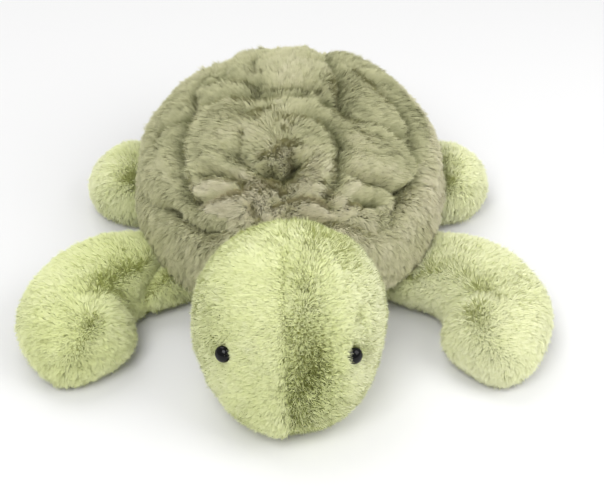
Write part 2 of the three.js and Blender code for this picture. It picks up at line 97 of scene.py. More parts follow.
class Side(Enum):
    """The toy's own sides. The value is the sign of X there."""

    LEFT = 1
    RIGHT = -1

    @property
    def word(self) -> str:
        """The side's name in lower case."""
        return self.name.lower()


# Numbers and vectors


def linear(hex_code: str) -> tuple[float, float, float, float]:
    """Turns an sRGB colour into Blender's linear one.

    Args:
        hex_code: Six hex digits after a hash sign.

    Returns:
        Red, green, blue and an alpha of 1.
    """
    shares = [int(hex_code[i : i + 2], 16) / 255 for i in (1, 3, 5)]
    red, green, blue = ((s / 12.92) if s <= 0.04045 else ((s + 0.055) / 1.055) ** 2.4 for s in shares)
    return red, green, blue, 1.0


def unit(vectors: Array) -> Array:
    """Scales each vector in the last axis to length 1."""
    return vectors / np.maximum(np.linalg.norm(vectors, axis=-1, keepdims=True), 1e-9)


def along(vectors: Array, normals: Array) -> Array:
    """What is left of each vector once its part along the normal is taken out."""
    return vectors - (vectors * normals).sum(-1, keepdims=True) * normals


def value_noise(points: Array, size: float, seed: int) -> Array:
    """Smooth noise that is the same on every run.

    Args:
        points: Places in mm, one a row.
        size: How far apart the noise's random values lie, mm.
        seed: Picks one noise out of many.

    Returns:
        A value from -1 to 1 for each point.
    """
    scaled = points / size + seed * 17.31
    base = np.floor(scaled).astype(np.int64)
    part = scaled - base
    part = part * part * (3 - 2 * part)
    total = np.zeros(len(points))
    for corner in itertools.product((0, 1), repeat=3):
        cell = base + corner
        mixed = (cell[:, 0] * 73856093) ^ (cell[:, 1] * 19349663) ^ (cell[:, 2] * 83492791) ^ (seed * 2654435)
        mixed = ((mixed ^ (mixed >> 13)) * 1274126177) & 0xFFFFFFFF
        mixed = ((mixed ^ (mixed >> 15)) * 2246822519) & 0xFFFFFFFF
        weight = np.where(corner, part, 1 - part).prod(1)
        total += weight * ((mixed ^ (mixed >> 16)) / 0xFFFFFFFF * 2 - 1)
    return total


def noise_vectors(points: Array, size: float, seed: int) -> Array:
    """Three noises at once, one for each axis."""
    return np.stack([value_noise(points, size, seed + k) for k in range(3)], 1)


def rippled(base: Array | float, points: Array, *waves: tuple[float, float, int]) -> Array:
    """Adds smooth noises to a value.

    Args:
        base: The value.
        points: Places in mm, one a row.
        waves: The strength, the size in mm and the seed of each noise.

    Returns:
        The value at each point.
    """
    for strength, size, seed in waves:
        base = base + strength * value_noise(points, size, seed)
    return base


def smooth_rows(rows: Array, steps: int) -> Array:
    """Draws a Catmull-Rom curve through rows of numbers.

    Args:
        rows: One station a row.
        steps: How many rows come from each gap between stations.

    Returns:
        The stations with the new rows between them.
    """
    rows = np.asarray(rows, float)
    held = np.concatenate([[2 * rows[0] - rows[1]], rows, [2 * rows[-1] - rows[-2]]])
    drawn = []
    for k in range(len(rows) - 1):
        a, b, c, d = held[k : k + 4]
        for t in np.arange(steps) / steps:
            row = 2 * b + (c - a) * t + (2 * a - 5 * b + 4 * c - d) * t**2
            drawn.append(0.5 * (row + (3 * (b - c) + d - a) * t**3))
    return np.array([*drawn, rows[-1]])


def nearest_on(places: Array, path: Array) -> tuple[Array, Array]:
    """Finds where a path comes nearest to each place.

    Args:
        places: One place a row.
        path: The path's corners, in order.

    Returns:
        The distances, and the nearest points of the path.
    """
    best, found = np.full(len(places), FAR), np.zeros_like(places)
    for start, end in zip(path[:-1], path[1:]):
        reach = end - start
        share = np.clip((places - start) @ reach / max(reach @ reach, 1e-9), 0, 1)
        point = start + share[:, None] * reach
        distance = np.linalg.norm(places - point, axis=1)
        closer = distance < best
        best[closer], found[closer] = distance[closer], point[closer]
    return best, found


def dip(distance: Array, depth: float, width: float) -> Array:
    """A soft hollow: its depth at no distance, fading over the width."""
    return depth * np.exp(-((distance / width) ** 2))


def fade(values: Array, start: float, end: float) -> Array:
    """How far values have come from a start to an end, from 0 to 1."""
    return np.clip((values - start) / (end - start), 0, 1)


def circle(count: int) -> Array:
    """Angles that part a full turn evenly."""
    return np.linspace(0, 2 * np.pi, count, endpoint=False)


def ring(turns: Array, middle: Place, first: Place, second: Place) -> Array:
    """A round or oval ring of points.

    Args:
        turns: The angle of each point.
        middle: The ring's middle.
        first: From the middle to the point at no angle.
        second: From the middle to the point at a quarter turn.

    Returns:
        The points, one a row.
    """
    return np.array(middle) + np.cos(turns)[:, None] * first + np.sin(turns)[:, None] * second


def tube_ring(count: int, y: float, half_width: float, low: float, high: float) -> Array:
    """A ring of a form that lies along Y on the floor. It is a single point where the form has no width.

    Args:
        count: How many points it has.
        y: Where it is.
        half_width: Its half width.
        low: Its lower edge. Below the floor it counts as on it.
        high: Its upper edge.

    Returns:
        The points, one a row.
    """
    low = max(low, 0)
    middle = (0, y, (low + high) / 2)
    if half_width < 1e-6:
        return np.array([middle])
    return ring(circle(count), middle, (half_width, 0, 0), (0, 0, (high - low) / 2))


def brushed_up(comb: Array, normals: Array, patch: Array, way: Array, less: float, more: float) -> Array:
    """Brushes a patch of pile against its lay.

    Args:
        comb: How the pile is brushed.
        normals: The skin's outward directions.
        patch: How strongly each point belongs to the patch.
        way: Where the patch is brushed to.
        less: How much of the lay it loses.
        more: How strongly it is brushed.

    Returns:
        How the pile is brushed then.
    """
    brushed = along(np.broadcast_to(way, normals.shape), normals) * more
    return comb * (1 - less * patch[:, None]) + brushed * patch[:, None]


# Skins


@dataclass
class Skin:
    """A sewn skin's outer face: points in mm, and triangles that look outwards."""

    points: Array
    triangles: Array

    def normals(self) -> Array:
        """The outward direction at each point, from the triangles round it."""
        a, b, c = (self.points[self.triangles[:, k]] for k in range(3))
        face = np.cross(b - a, c - a)
        total = np.zeros_like(self.points)
        for k in range(3):
            np.add.at(total, self.triangles[:, k], face)
        return unit(total)

    def moved(self, distance: Array | float) -> Skin:
        """The same skin, moved outwards by a distance, or inwards by a negative one."""
        return Skin(self.points + self.normals() * np.reshape(distance, (-1, 1)), self.triangles)

    def above_floor(self) -> Skin:
        """The same skin, pressed flat where it would sink into the floor."""
        level = np.maximum(self.points[:, 2], FLOOR_GAP)
        return Skin(np.column_stack([self.points[:, :2], level]), self.triangles)

    def looking(self, ways: Array | Place) -> Skin:
        """The same skin, turned over if it mostly looks against the given ways."""
        against = (self.normals() * ways).sum() < 0
        return Skin(self.points, self.triangles[:, ::-1]) if against else self

    def part(self, keep: Array) -> Skin:
        """The skin of the triangles that keep marks, without the points that they leave out."""
        used, index = np.unique(self.triangles[keep], return_inverse=True)
        return Skin(self.points[used], index.reshape(-1, 3))

    def middles(self) -> Array:
        """The middle of each triangle."""
        return self.points[self.triangles].mean(1)

    def on_side(self, side: Side) -> Skin:
        """This skin of the toy's left, or its mirror image on the right."""
        if side is Side.LEFT:
            return self
        return Skin(self.points * (-1, 1, 1), self.triangles[:, ::-1])

    def piece(self, name: str, material: Material) -> Object:
        """Writes the skin as an object in the row frame.

        Args:
            name: The piece's name.
            material: What it is made of.

        Returns:
            The new object, smooth all over.
        """
        mesh = bpy.data.meshes.new(name)
        mesh.from_pydata(((self.points + ROW_SHIFT) * MM).tolist(), [], self.triangles.tolist())
        mesh.shade_smooth()
        return new_object(name, mesh, material, f"{len(self.triangles)} triangles of cloth")


def new_object(name: str, mesh: bpy.types.Mesh, material: Material, note: str) -> Object:
    """Puts a mesh into the scene.

    Args:
        name: The object's name.
        mesh: Its shape.
        material: What it is made of.
        note: What the log says of it.

    Returns:
        The new object.
    """
    mesh.materials.append(material)
    made = bpy.data.objects.new(name, mesh)
    bpy.context.scene.collection.objects.link(made)
    log.info("%s: %s", name, note)
    return made


def loft(rings: list[Array]) -> Skin:
    """Joins rings of points into one skin. A ring of one point is a pole.

    Args:
        rings: Each ring's points, in the same order and number but for poles.

    Returns:
        The skin, its triangles facing outwards where the form is closed.
    """
    starts = np.cumsum([0, *(len(points) for points in rings)])
    triangles = []
    for k in range(len(rings) - 1):
        count = max(len(rings[k]), len(rings[k + 1]))
        for i in range(count):
            j = (i + 1) % count
            a, b = (starts[k] + n % len(rings[k]) for n in (i, j))
            c, d = (starts[k + 1] + n % len(rings[k + 1]) for n in (i, j))
            if a != b:
                triangles.append((a, b, d))
            if c != d:
                triangles.append((a, d, c))
    points, triangles = np.vstack(rings), np.array(triangles)
    a, b, c = (points[triangles[:, k]] for k in range(3))
    if (np.cross(a, b) * c).sum() < 0:
        triangles = triangles[:, ::-1]
    return Skin(points, triangles)


@dataclass(frozen=True)
class Stuffing:
    """Polyester fibre pushed into a skin until it stands firm.

    Args:
        voxel: How far apart the simulated cloth's threads are, mm.
        pressure: How hard the fibre pushes.
        stretch: How stiff the cloth is against a pull.
        shear: How stiff it is against a slant.
        swell: The farthest that it may swell, mm.
        last_frame: How many steps the simulation takes.
    """

    voxel: float = 4.0
    pressure: float = 400.0
    stretch: float = 1.0
    shear: float = 0.3
    swell: float = 2.5
    quick_share: float = 0.6
    last_frame: int = 12

    def filled(self, form: Skin) -> Skin:
        """Swells a closed skin as its stuffing does, by a cloth simulation.

        Args:
            form: The slack skin.
        """
        scene = bpy.context.scene
        mesh = bpy.data.meshes.new("slack")
        mesh.from_pydata((form.points * MM).tolist(), [], form.triangles.tolist())
        slack = bpy.data.objects.new("slack", mesh)
        scene.collection.objects.link(slack)
        remesh = slack.modifiers.new("weave", "REMESH")
        remesh.mode, remesh.voxel_size = "VOXEL", self.voxel * MM
        woven = bpy.data.meshes.new_from_object(slack.evaluated_get(bpy.context.evaluated_depsgraph_get()))
        slack.modifiers.clear()
        slack.data = woven
        at_rest = self._points(slack)
        cloth = slack.modifiers.new("cloth", "CLOTH")
        cloth.settings.use_pressure = True
        cloth.settings.uniform_pressure_force = self.pressure
        cloth.settings.tension_stiffness = cloth.settings.compression_stiffness = self.stretch
        cloth.settings.shear_stiffness = self.shear
        cloth.settings.effector_weights.gravity = 0
        cloth.point_cache.frame_start, cloth.point_cache.frame_end = 1, self.last_frame
        for frame in range(1, self.last_frame + 1):
            scene.frame_set(frame)
        move = self._points(slack) - at_rest
        far = np.linalg.norm(move, axis=1, keepdims=True)
        move *= np.minimum(1, self.swell / np.maximum(far, 1e-9))
        slack.modifiers.remove(cloth)
        woven.vertices.foreach_set("co", ((at_rest + move) * MM).astype(np.float32).ravel())
        scene.frame_set(1)
        slack.modifiers.new("round", "SUBSURF").levels = 1
        result = self._skin(slack)
        bpy.data.objects.remove(slack)
        return result

    @staticmethod
    def _points(source: Object) -> Array:
        """The object's points as its modifiers leave them, in mm."""
        shown = source.evaluated_get(bpy.context.evaluated_depsgraph_get()).to_mesh()
        flat = np.empty(len(shown.vertices) * 3, np.float32)
        shown.vertices.foreach_get("co", flat)
        return flat.reshape(-1, 3).astype(float) / MM

    @staticmethod
    def _skin(source: Object) -> Skin:
        """The object as a skin of triangles, its modifiers applied."""
        shown = source.evaluated_get(bpy.context.evaluated_depsgraph_get()).to_mesh()
        shown.calc_loop_triangles()
        points = np.empty(len(shown.vertices) * 3, np.float32)
        corners = np.empty(len(shown.loop_triangles) * 3, np.int32)
        shown.vertices.foreach_get("co", points)
        shown.loop_triangles.foreach_get("vertices", corners)
        return Skin(points.reshape(-1, 3).astype(float) / MM, corners.reshape(-1, 3))


# Pile


@dataclass
class Lay:
    """How the pile stands at each point of a skin. A single number holds for all the points.

    Args:
        comb: Which way it is brushed; a length of 1 leans it by 45 degrees.
        length: Its length, as a share of the pile's own.
        tone: Its shade, from 0, dull, to 1, bright.
        gather: How strongly its tips draw together, as a share of the pile's own.
        cover: How thick it grows, from 0, bare.
    """

    comb: Array
    length: Array | float
    tone: Array | float
    gather: Array | float = 1.0
    cover: Array | float = 1.0

    def __post_init__(self) -> None:
        """Spreads single numbers over the points."""
        for name in ("length", "tone", "gather", "cover"):
            setattr(self, name, np.broadcast_to(getattr(self, name), len(self.comb)))


@dataclass
class Blades:
    """Fibres of pile, each a flat blade that is bent once and ends in a point."""

    points: Array
    normals: Array
    tones: Array

    # A blade's corners are two at its root, two at its bend and its tip. They make a quad and a triangle.
    CORNERS, FACES, FACE_STARTS = 5, (0, 1, 3, 2, 2, 3, 4), (0, 4)
    MAP_ACROSS, MAP_UP = (-0.004, 0.004, -0.004, 0.004, 0.0), (0.02, 0.02, 0.5, 0.5, 0.98)

    def part(self, keep: Array) -> Blades:
        """The blades that keep marks."""
        return Blades(self.points[keep], self.normals[keep], self.tones[keep])

    def halves(self, place: float) -> dict[str, Blades]:
        """The blades before and behind a place along Y, so that no mesh is too big for an export."""
        front = self.points[:, 0, 1] < place
        return {"front": self.part(front), "back": self.part(~front)}

    def piece(self, name: str, material: Material) -> Object:
        """Writes the blades as one mesh in the row frame, with the map that their shades are read from.

        Args:
            name: The piece's name.
            material: The pile's finish.

        Returns:
            The new object.
        """
        blades = np.arange(len(self.points))[:, None]
        corners, starts = blades * self.CORNERS + self.FACES, blades * len(self.FACES) + self.FACE_STARTS
        mesh = bpy.data.meshes.new(name)
        mesh.vertices.add(len(blades) * self.CORNERS)
        mesh.vertices.foreach_set("co", ((self.points + ROW_SHIFT) * MM).astype(np.float32).ravel())
        mesh.loops.add(corners.size)
        mesh.loops.foreach_set("vertex_index", corners.astype(np.int32).ravel())
        mesh.polygons.add(starts.size)
        mesh.polygons.foreach_set("loop_start", starts.astype(np.int32).ravel())
        mesh.update(calc_edges=True)
        shades = self.tones[:, None] + self.MAP_ACROSS
        places = np.stack([shades, np.broadcast_to(self.MAP_UP, shades.shape)], 2)[:, self.FACES]
        layer = mesh.uv_layers.new(name=PILE_MAP)
        layer.uv.foreach_set("vector", places.astype(np.float32).ravel())
        mesh.normals_split_custom_set_from_vertices(self.normals.reshape(-1, 3).astype(np.float32))
        return new_object(name, mesh, material, f"{len(blades)} fibres")


@dataclass(frozen=True)
class Pile:
    """A plush pile. Fibres are drawn in bundles of many: a real one is 0.02 mm thick and wouldn't show.

    Args:
        length: A fibre's length, mm.
        width: Its blade's width, mm.
        per_mm2: How many stand on a square millimetre.
        clump: How far apart the tufts are that they gather in, mm.
        pull: How strongly they gather.
        ruffle: How much a tuft strays from the lay.
        frizz: How much a fibre strays from its tuft.
        lean: How much it takes the lay.
        spread: How much shades vary.
        sink: How far below the cloth it starts, mm.
        bend: Where it bends, as a share of its length.
        growth: How much tufts vary in length.
        worn: Between which shares their fibres do.
        drawn: Between which shares the pull varies.
        most: The most that tips and bends are drawn together, and a bend's share of a tip's pull.
        tones: The darkest and the palest shade.
        rise: What lay and straying give below the bend.
        fall: What normal, lay and straying give above it.
        twist: How much a blade turns round its length.
        root_width: Its width at the root, as a share.
        rounding: What the normal, its face and its side give to its shading.
    """

    length: float
    width: float
    per_mm2: float
    clump: float
    pull: float
    ruffle: float
    frizz: float
    lean: float
    spread: float = 0.05
    sink: float = 1.2
    bend: float = 0.6
    growth: float = 0.12
    worn: tuple[float, float] = (0.72, 1.08)
    drawn: tuple[float, float] = (0.6, 1.1)
    most: tuple[float, float, float] = (0.92, 0.6, 0.45)
    tones: tuple[float, float] = (0.03, 0.97)
    rise: tuple[float, float] = (0.6, 0.4)
    fall: tuple[float, float, float] = (0.8, 1.4, 0.9)
    twist: float = 0.6
    root_width: float = 0.8
    rounding: tuple[float, float, float] = (0.75, 0.25, 0.3)

    def grow(self, skin: Skin, lay: Lay, seed: int) -> Blades:
        """Grows the pile on a skin.

        Args:
            skin: What it grows on.
            lay: How it stands at each of the skin's points.
            seed: Picks the scatter.

        Returns:
            The fibres.
        """
        rng = np.random.default_rng(seed)
        centres = self._stand(skin, lay, 1 / self.clump**2, rng)
        fibres = self._stand(skin, lay, self.per_mm2, rng)
        tuft_of = self._nearest(centres["root"], fibres["root"])
        shift = rng.normal(size=centres["root"].shape) * self.ruffle
        grown = 1 + rng.normal(size=len(shift)) * self.growth
        shade = rng.normal(size=len(shift)) * self.spread
        mids, tips = self._reach(centres, shift, grown)
        wild = rng.normal(size=fibres["root"].shape) * self.frizz
        size = grown[tuft_of] * rng.uniform(*self.worn, len(tuft_of))
        mid, tip = self._reach(fibres, shift[tuft_of] + wild, size)
        pull = (self.pull * fibres["gather"] * rng.uniform(*self.drawn, len(tuft_of)))[:, None]
        most_tip, most_mid, mid_share = self.most
        tip = tip + (tips[tuft_of] - tip) * np.clip(pull, 0, most_tip)
        mid = mid + (mids[tuft_of] - mid) * np.clip(pull * mid_share, 0, most_mid)
        tones = fibres["tone"] + shade[tuft_of] + rng.normal(size=len(tuft_of)) * self.spread
        return self._blades(fibres, mid, tip, np.clip(tones, *self.tones), rng)

    @staticmethod
    def _stand(skin: Skin, lay: Lay, per_mm2: float, rng: np.random.Generator) -> Stand:
        """Scatters places over a skin and reads the lay there.

        Args:
            skin: Where to scatter.
            lay: The lay at its points.
            per_mm2: How many places for each square millimetre that is covered in full.
            rng: The source of chance.

        Returns:
            The places, their normals and the lay's values there.
        """
        a, b, c = (skin.points[skin.triangles[:, k]] for k in range(3))
        area = np.linalg.norm(np.cross(b - a, c - a), axis=1) / 2 * lay.cover[skin.triangles].mean(1)
        count = max(1, int(area.sum() * per_mm2))
        sums = np.cumsum(area)
        picks = (np.arange(count) + rng.random(count)) / count * sums[-1]
        chosen = skin.triangles[np.minimum(np.searchsorted(sums, picks), len(area) - 1)]
        first, second = np.sqrt(rng.random(count)), rng.random(count)
        weights = np.stack([1 - first, first * (1 - second), first * second], 1)

        def read(values: Array) -> Array:
            """The values at the places, from those at the triangles' corners."""
            return np.einsum("nk,nk...->n...", weights, values[chosen])

        normal = unit(read(skin.normals()))
        shares = {name: read(getattr(lay, name)) for name in ("length", "tone", "gather")}
        return {"root": read(skin.points), "normal": normal, "comb": along(read(lay.comb), normal), **shares}

    @staticmethod
    def _nearest(centres: Array, places: Array) -> Array:
        """Which centre is nearest to each place."""
        tree = KDTree(len(centres))
        for i, centre in enumerate(centres.tolist()):
            tree.insert(centre, i)
        tree.balance()
        find = tree.find
        return np.fromiter((find(place)[1] for place in places.tolist()), np.int64, len(places))

    def _reach(self, stand: Stand, shift: Array, size: Array) -> tuple[Array, Array]:
        """Where fibres bend and where they end.

        Args:
            stand: Their places and lay.
            shift: How each strays from the lay.
            size: Each one's length, as a share of the pile's.

        Returns:
            The bends and the tips.
        """
        normal, comb = stand["normal"], stand["comb"] * self.lean
        stray = along(shift, normal)
        length = (self.length * stand["length"] * size)[:, None]
        rise = unit(normal + self.rise[0] * comb + self.rise[1] * stray)
        fall = unit(self.fall[0] * normal + self.fall[1] * comb + self.fall[2] * stray)
        mid = stand["root"] + rise * length * self.bend
        return mid, mid + fall * length * (1 - self.bend)

    def _blades(self, stand: Stand, mid: Array, tip: Array, tones: Array, rng: np.random.Generator) -> Blades:
        """Gives the fibres their width.

        Args:
            stand: Their places and lay.
            mid: Their bends.
            tip: Their tips.
            tones: Their shades.
            rng: The source of chance.

        Returns:
            The finished fibres.
        """
        root = stand["root"] - stand["normal"] * self.sink
        mid[:, 2] = np.maximum(mid[:, 2], FLOOR_GAP)
        tip[:, 2] = np.maximum(tip[:, 2], FLOOR_GAP)
        run = unit(tip - root)
        side = unit(np.cross(run, stand["normal"] + rng.normal(size=run.shape) * 0.02))
        twist = rng.normal(size=(len(run), 1)) * self.twist
        side = np.cos(twist) * side + np.sin(twist) * np.cross(run, side)
        face = np.cross(side, run)
        turned = np.where((face * stand["normal"]).sum(1) < 0, -1.0, 1.0)[:, None]
        side, face = side * turned, face * turned
        half = side * self.width / 2
        foot = half * self.root_width
        points = np.stack([root - foot, root + foot, mid - half, mid + half, tip], 1)
        points[:, :, 2] = np.maximum(points[:, :, 2], FLOOR_GAP)
        upright, flat, edge = self.rounding
        facing, edge = unit(upright * stand["normal"] + flat * face), edge * side
        normals = unit(np.stack([facing - edge, facing + edge, facing - edge, facing + edge, facing], 1))
        return Blades(points, normals, tones)


LONG_PILE = Pile(length=8.8, width=0.28, per_mm2=8.0, clump=2.4, pull=0.22, ruffle=0.14, frizz=0.32, lean=0.9)
SHORT_PILE = Pile(length=7.0, width=0.3, per_mm2=7.2, clump=1.7, pull=0.12, ruffle=0.1, frizz=0.38, lean=0.75)
HIDDEN_PILE = Pile(length=6.0, width=0.9, per_mm2=0.8, clump=3.0, pull=0.3, ruffle=0.3, frizz=0.4, lean=0.8)


# Finishes


def add_node(tree: Tree, kind: str, inputs: dict | None = None, **settings: object) -> bpy.types.Node:
    """Adds a node with its settings, values and links.

    Args:
        tree: Where it goes.
        kind: Blender's name for the kind of node.
        inputs: For each input, by name or number, a value or the socket that feeds it.
        settings: The node's own settings.

    Returns:
        The new node.
    """
    node = tree.nodes.new(kind)
    for key, value in settings.items():
        setattr(node, key, value)
    for key, value in (inputs or {}).items():
        if isinstance(value, Socket):
            tree.links.new(value, node.inputs[key])
        else:
            node.inputs[key].default_value = value
    return node


def ramp_between(tree: Tree, factor: Socket, stops: list[tuple[float, str]]) -> Socket:
    """A colour ramp with its stops.

    Args:
        tree: Where it goes.
        factor: What drives it.
        stops: Places from 0 to 1, each with a hex colour.

    Returns:
        The ramp's colour.
    """
    node = add_node(tree, "ShaderNodeValToRGB", {0: factor})
    elements = node.color_ramp.elements
    while len(elements) < len(stops):
        elements.new(0.5)
    for element, (place, colour) in zip(elements, stops):
        element.position, element.color = place, linear(colour)
    return node.outputs[0]


@dataclass(frozen=True)
class Finish:
    """A material that is built from nodes."""

    name: str

    def material(self) -> Material:
        """Builds the finish as a new material."""
        material = bpy.data.materials.new(self.name)
        material.use_nodes = True
        tree = material.node_tree
        tree.nodes.clear()
        shader = add_node(tree, "ShaderNodeBsdfPrincipled", self.surface(tree))
        add_node(tree, "ShaderNodeOutputMaterial", {0: shader.outputs[0]})
        return material

    def surface(self, tree: Tree) -> dict:
        """The shader's inputs, with the nodes that feed them added to the tree."""
        raise NotImplementedError


@dataclass(frozen=True)
class PlushFibre(Finish):
    """Polyester plush, sheared and tumbled: painted dark and matt at the root, as the shade deep in the pile,
    and pale and faintly silky at the tip.
    """

    root_dull: str
    root_bright: str
    tip_dull: str
    tip_mid: str
    tip_bright: str
    sheen: float
    roughness: float = 0.75

    def surface(self, tree: Tree) -> dict:
        """Reads the colour from the pile's own map, so that it goes with each fibre."""
        place = add_node(tree, "ShaderNodeUVMap", uv_map=PILE_MAP)
        split = add_node(tree, "ShaderNodeSeparateXYZ", {0: place.outputs[0]})
        shade, height = split.outputs[0], split.outputs[1]
        roots = ramp_between(tree, shade, [(0.05, self.root_dull), (0.6, self.root_bright)])
        tips = ramp_between(tree, shade, [(0.05, self.tip_dull), (0.5, self.tip_mid), (0.95, self.tip_bright)])
        # Painted shade: each fibre runs from the root colours, dark as the shade deep in the pile, up to the
        # tip colours
        risen = ramp_between(tree, height, [(0.0, "#000000"), (0.35, "#BBBBBB"), (0.75, "#FFFFFF")])
        colour = add_node(tree, "ShaderNodeMix", {0: risen, 6: roots, 7: tips}, data_type="RGBA")
        return {
            "Base Color": colour.outputs[2],
            "Roughness": self.roughness,
            "IOR": 1.45,
            "Specular IOR Level": 0.25,
            "Sheen Weight": self.sheen,
            "Sheen Roughness": 0.45,
            "Sheen Tint": linear(self.tip_bright),
        }


@dataclass(frozen=True)
class KnitBacking(Finish):
    """The knitted ground of the pile: dull, with ribs that show where the pile parts. Sizes in mm."""

    colour: str
    shade: str
    rib: float = 0.9
    blotch: float = 50 / 3

    def surface(self, tree: Tree) -> dict:
        """Ribs as a fine bump, and a cloudy colour."""
        place = add_node(tree, "ShaderNodeTexCoord").outputs["Object"]
        ribs = {"Vector": place, "Scale": waves_for(self.rib), "Distortion": 0.6}
        ribbed = add_node(tree, "ShaderNodeTexWave", ribs)
        clouds = {"Vector": place, "Scale": 1 / (self.blotch * MM), "Detail": 3.0}
        cloudy = add_node(tree, "ShaderNodeTexNoise", clouds)
        colour = ramp_between(tree, cloudy.outputs[0], [(0.3, self.shade), (0.7, self.colour)])
        bump = {"Height": ribbed.outputs[1], "Distance": 0.3 * MM, "Strength": 0.6}
        raised = add_node(tree, "ShaderNodeBump", bump).outputs[0]
        return {
            "Base Color": colour, "Roughness": 0.95, "IOR": 1.45, "Specular IOR Level": 0.2, "Normal": raised,
        }


@dataclass(frozen=True)
class MouldedPlastic(Finish):
    """Injection-moulded plastic: a skin as smooth as its mould, with a faint unevenness where it shrank."""

    colour: str
    roughness: float
    specular: float = 0.5
    shrink_mark: float = 3.125
    mark_shade: int = 6

    def surface(self, tree: Tree) -> dict:
        """One noise darkens the marks a little and sinks them."""
        place = add_node(tree, "ShaderNodeTexCoord").outputs["Object"]
        marks = {"Vector": place, "Scale": 1 / (self.shrink_mark * MM), "Detail": 2.0}
        uneven = add_node(tree, "ShaderNodeTexNoise", marks)
        shares = (max(0, int(self.colour[i : i + 2], 16) - self.mark_shade) for i in (1, 3, 5))
        deep = "#%02X%02X%02X" % tuple(shares)
        colour = ramp_between(tree, uneven.outputs[0], [(0.3, deep), (0.7, self.colour)])
        bump = {"Height": uneven.outputs[0], "Distance": 0.02 * MM, "Strength": 0.5}
        return {
            "Base Color": colour,
            "Roughness": self.roughness,
            "IOR": 1.5,
            "Specular IOR Level": self.specular,
            "Normal": add_node(tree, "ShaderNodeBump", bump).outputs[0],
        }


@dataclass(frozen=True)
class WovenCotton(Finish):
    """Plain-woven cotton of the pellet bag: matt, with threads 0.5 mm apart that cross."""

    name: str = "cotton_calico_woven"
    colour: str = "#D9D4C4"
    shade: str = "#BDB6A2"
    thread: float = 0.5

    def surface(self, tree: Tree) -> dict:
        """Two waves that cross, as warp and weft."""
        threads = {
            "Vector": add_node(tree, "ShaderNodeTexCoord").outputs["Object"], "Scale": waves_for(self.thread),
        }
        warp, weft = (add_node(tree, "ShaderNodeTexWave", threads, bands_direction=way) for way in ("X", "Y"))
        weave = add_node(tree, "ShaderNodeMath", {0: warp.outputs[1], 1: weft.outputs[1]}, operation="MAXIMUM")
        colour = ramp_between(tree, weave.outputs[0], [(0.3, self.shade), (0.9, self.colour)])
        bump = {"Height": weave.outputs[0], "Distance": 0.2 * MM, "Strength": 0.7}
        raised = add_node(tree, "ShaderNodeBump", bump).outputs[0]
        return {"Base Color": colour, "Roughness": 0.9, "Normal": raised}


@dataclass(frozen=True)
class StudioPaper(Finish):
    """Seamless background paper: white and matt, so that it holds only soft shadows."""

    name: str = "background_paper"
    colour: str = "#EFEFEF"

    def surface(self, tree: Tree) -> dict:
        """One plain colour without any gloss."""
        return {"Base Color": linear(self.colour), "Roughness": 1.0, "Specular IOR Level": 0.0}


def waves_for(spacing: float) -> float:
    """The wave texture's scale that sets its bands a spacing in mm apart."""
    return 1 / (spacing * MM) / 20


SHELL_FIBRE = PlushFibre("polyester_plush_sage", "#68683F", "#BCBC90", "#8F9168", "#D0CFA5", "#E6E0C4", 0.3)
LIME_FIBRE = PlushFibre("polyester_plush_lime", "#A8A646", "#EAF0AA", "#C2C870", "#F2F8BA", "#FDFFD6", 0.5)
# The backings are as dark as the pile's roots: partly the knit's own colour, partly painted shade deep in the
# pile
SHELL_BACKING = KnitBacking("knitted_backing_sage", "#8A8560", "#6E6948")
LIME_BACKING = KnitBacking("knitted_backing_lime", "#BCC07A", "#9C9E4C")


# Body


@dataclass(frozen=True)
class BodyForm:
    """The shell's plain form, without its quilting, in mm."""

    half_width: float = 103.0
    half_length: float = 130.0
    height: float = 105.0
    rim_height: float = 38.0
    fullness: float = 2.2
    height_margin: float = 0.6

    def dome(self, across: Array, back: Array) -> Array:
        """The dome's height over places given as shares of the half sizes."""
        radius = np.minimum(1, np.hypot(across, back))
        share = (1 - radius**self.fullness) ** (1 / self.fullness)
        return self.rim_height + (self.height - self.rim_height) * share

    def on_dome(self, places: Array) -> Array:
        """Places seen from above, lifted onto the dome."""
        across, back = places[:, 0] / self.half_width, places[:, 1] / self.half_length
        return np.column_stack([places, self.dome(across, back)])

    def shares(self, points: Array) -> Array:
        """How far out each point is, as a share of the shell's half sizes."""
        return np.hypot(points[:, 0] / self.half_width, points[:, 1] / self.half_length)

    def holds(self, points: Array, margin: float) -> Array:
        """Which points lie inside the body by more than a margin in mm."""
        wide, long = self.half_width - margin, self.half_length - margin
        across, back = points[:, 0] / wide, points[:, 1] / long
        under_dome = points[:, 2] < self.dome(across, back) - margin * self.height_margin
        return (np.hypot(across, back) < 1) & under_dome


BODY = BodyForm()


@dataclass(frozen=True)
class Drawn:
    """What a crease does at each of some places.

    Args:
        hollow: How deep the place is drawn in, mm.
        ridge: How far it is pushed out, mm.
        distance: How far it is from the crease, mm.
        dark: How much painted shade the crease puts on the pile there, from 0.
        over: Which way the pile there hangs over the crease.
    """

    hollow: Array
    ridge: Array
    distance: Array
    dark: Array
    over: Array


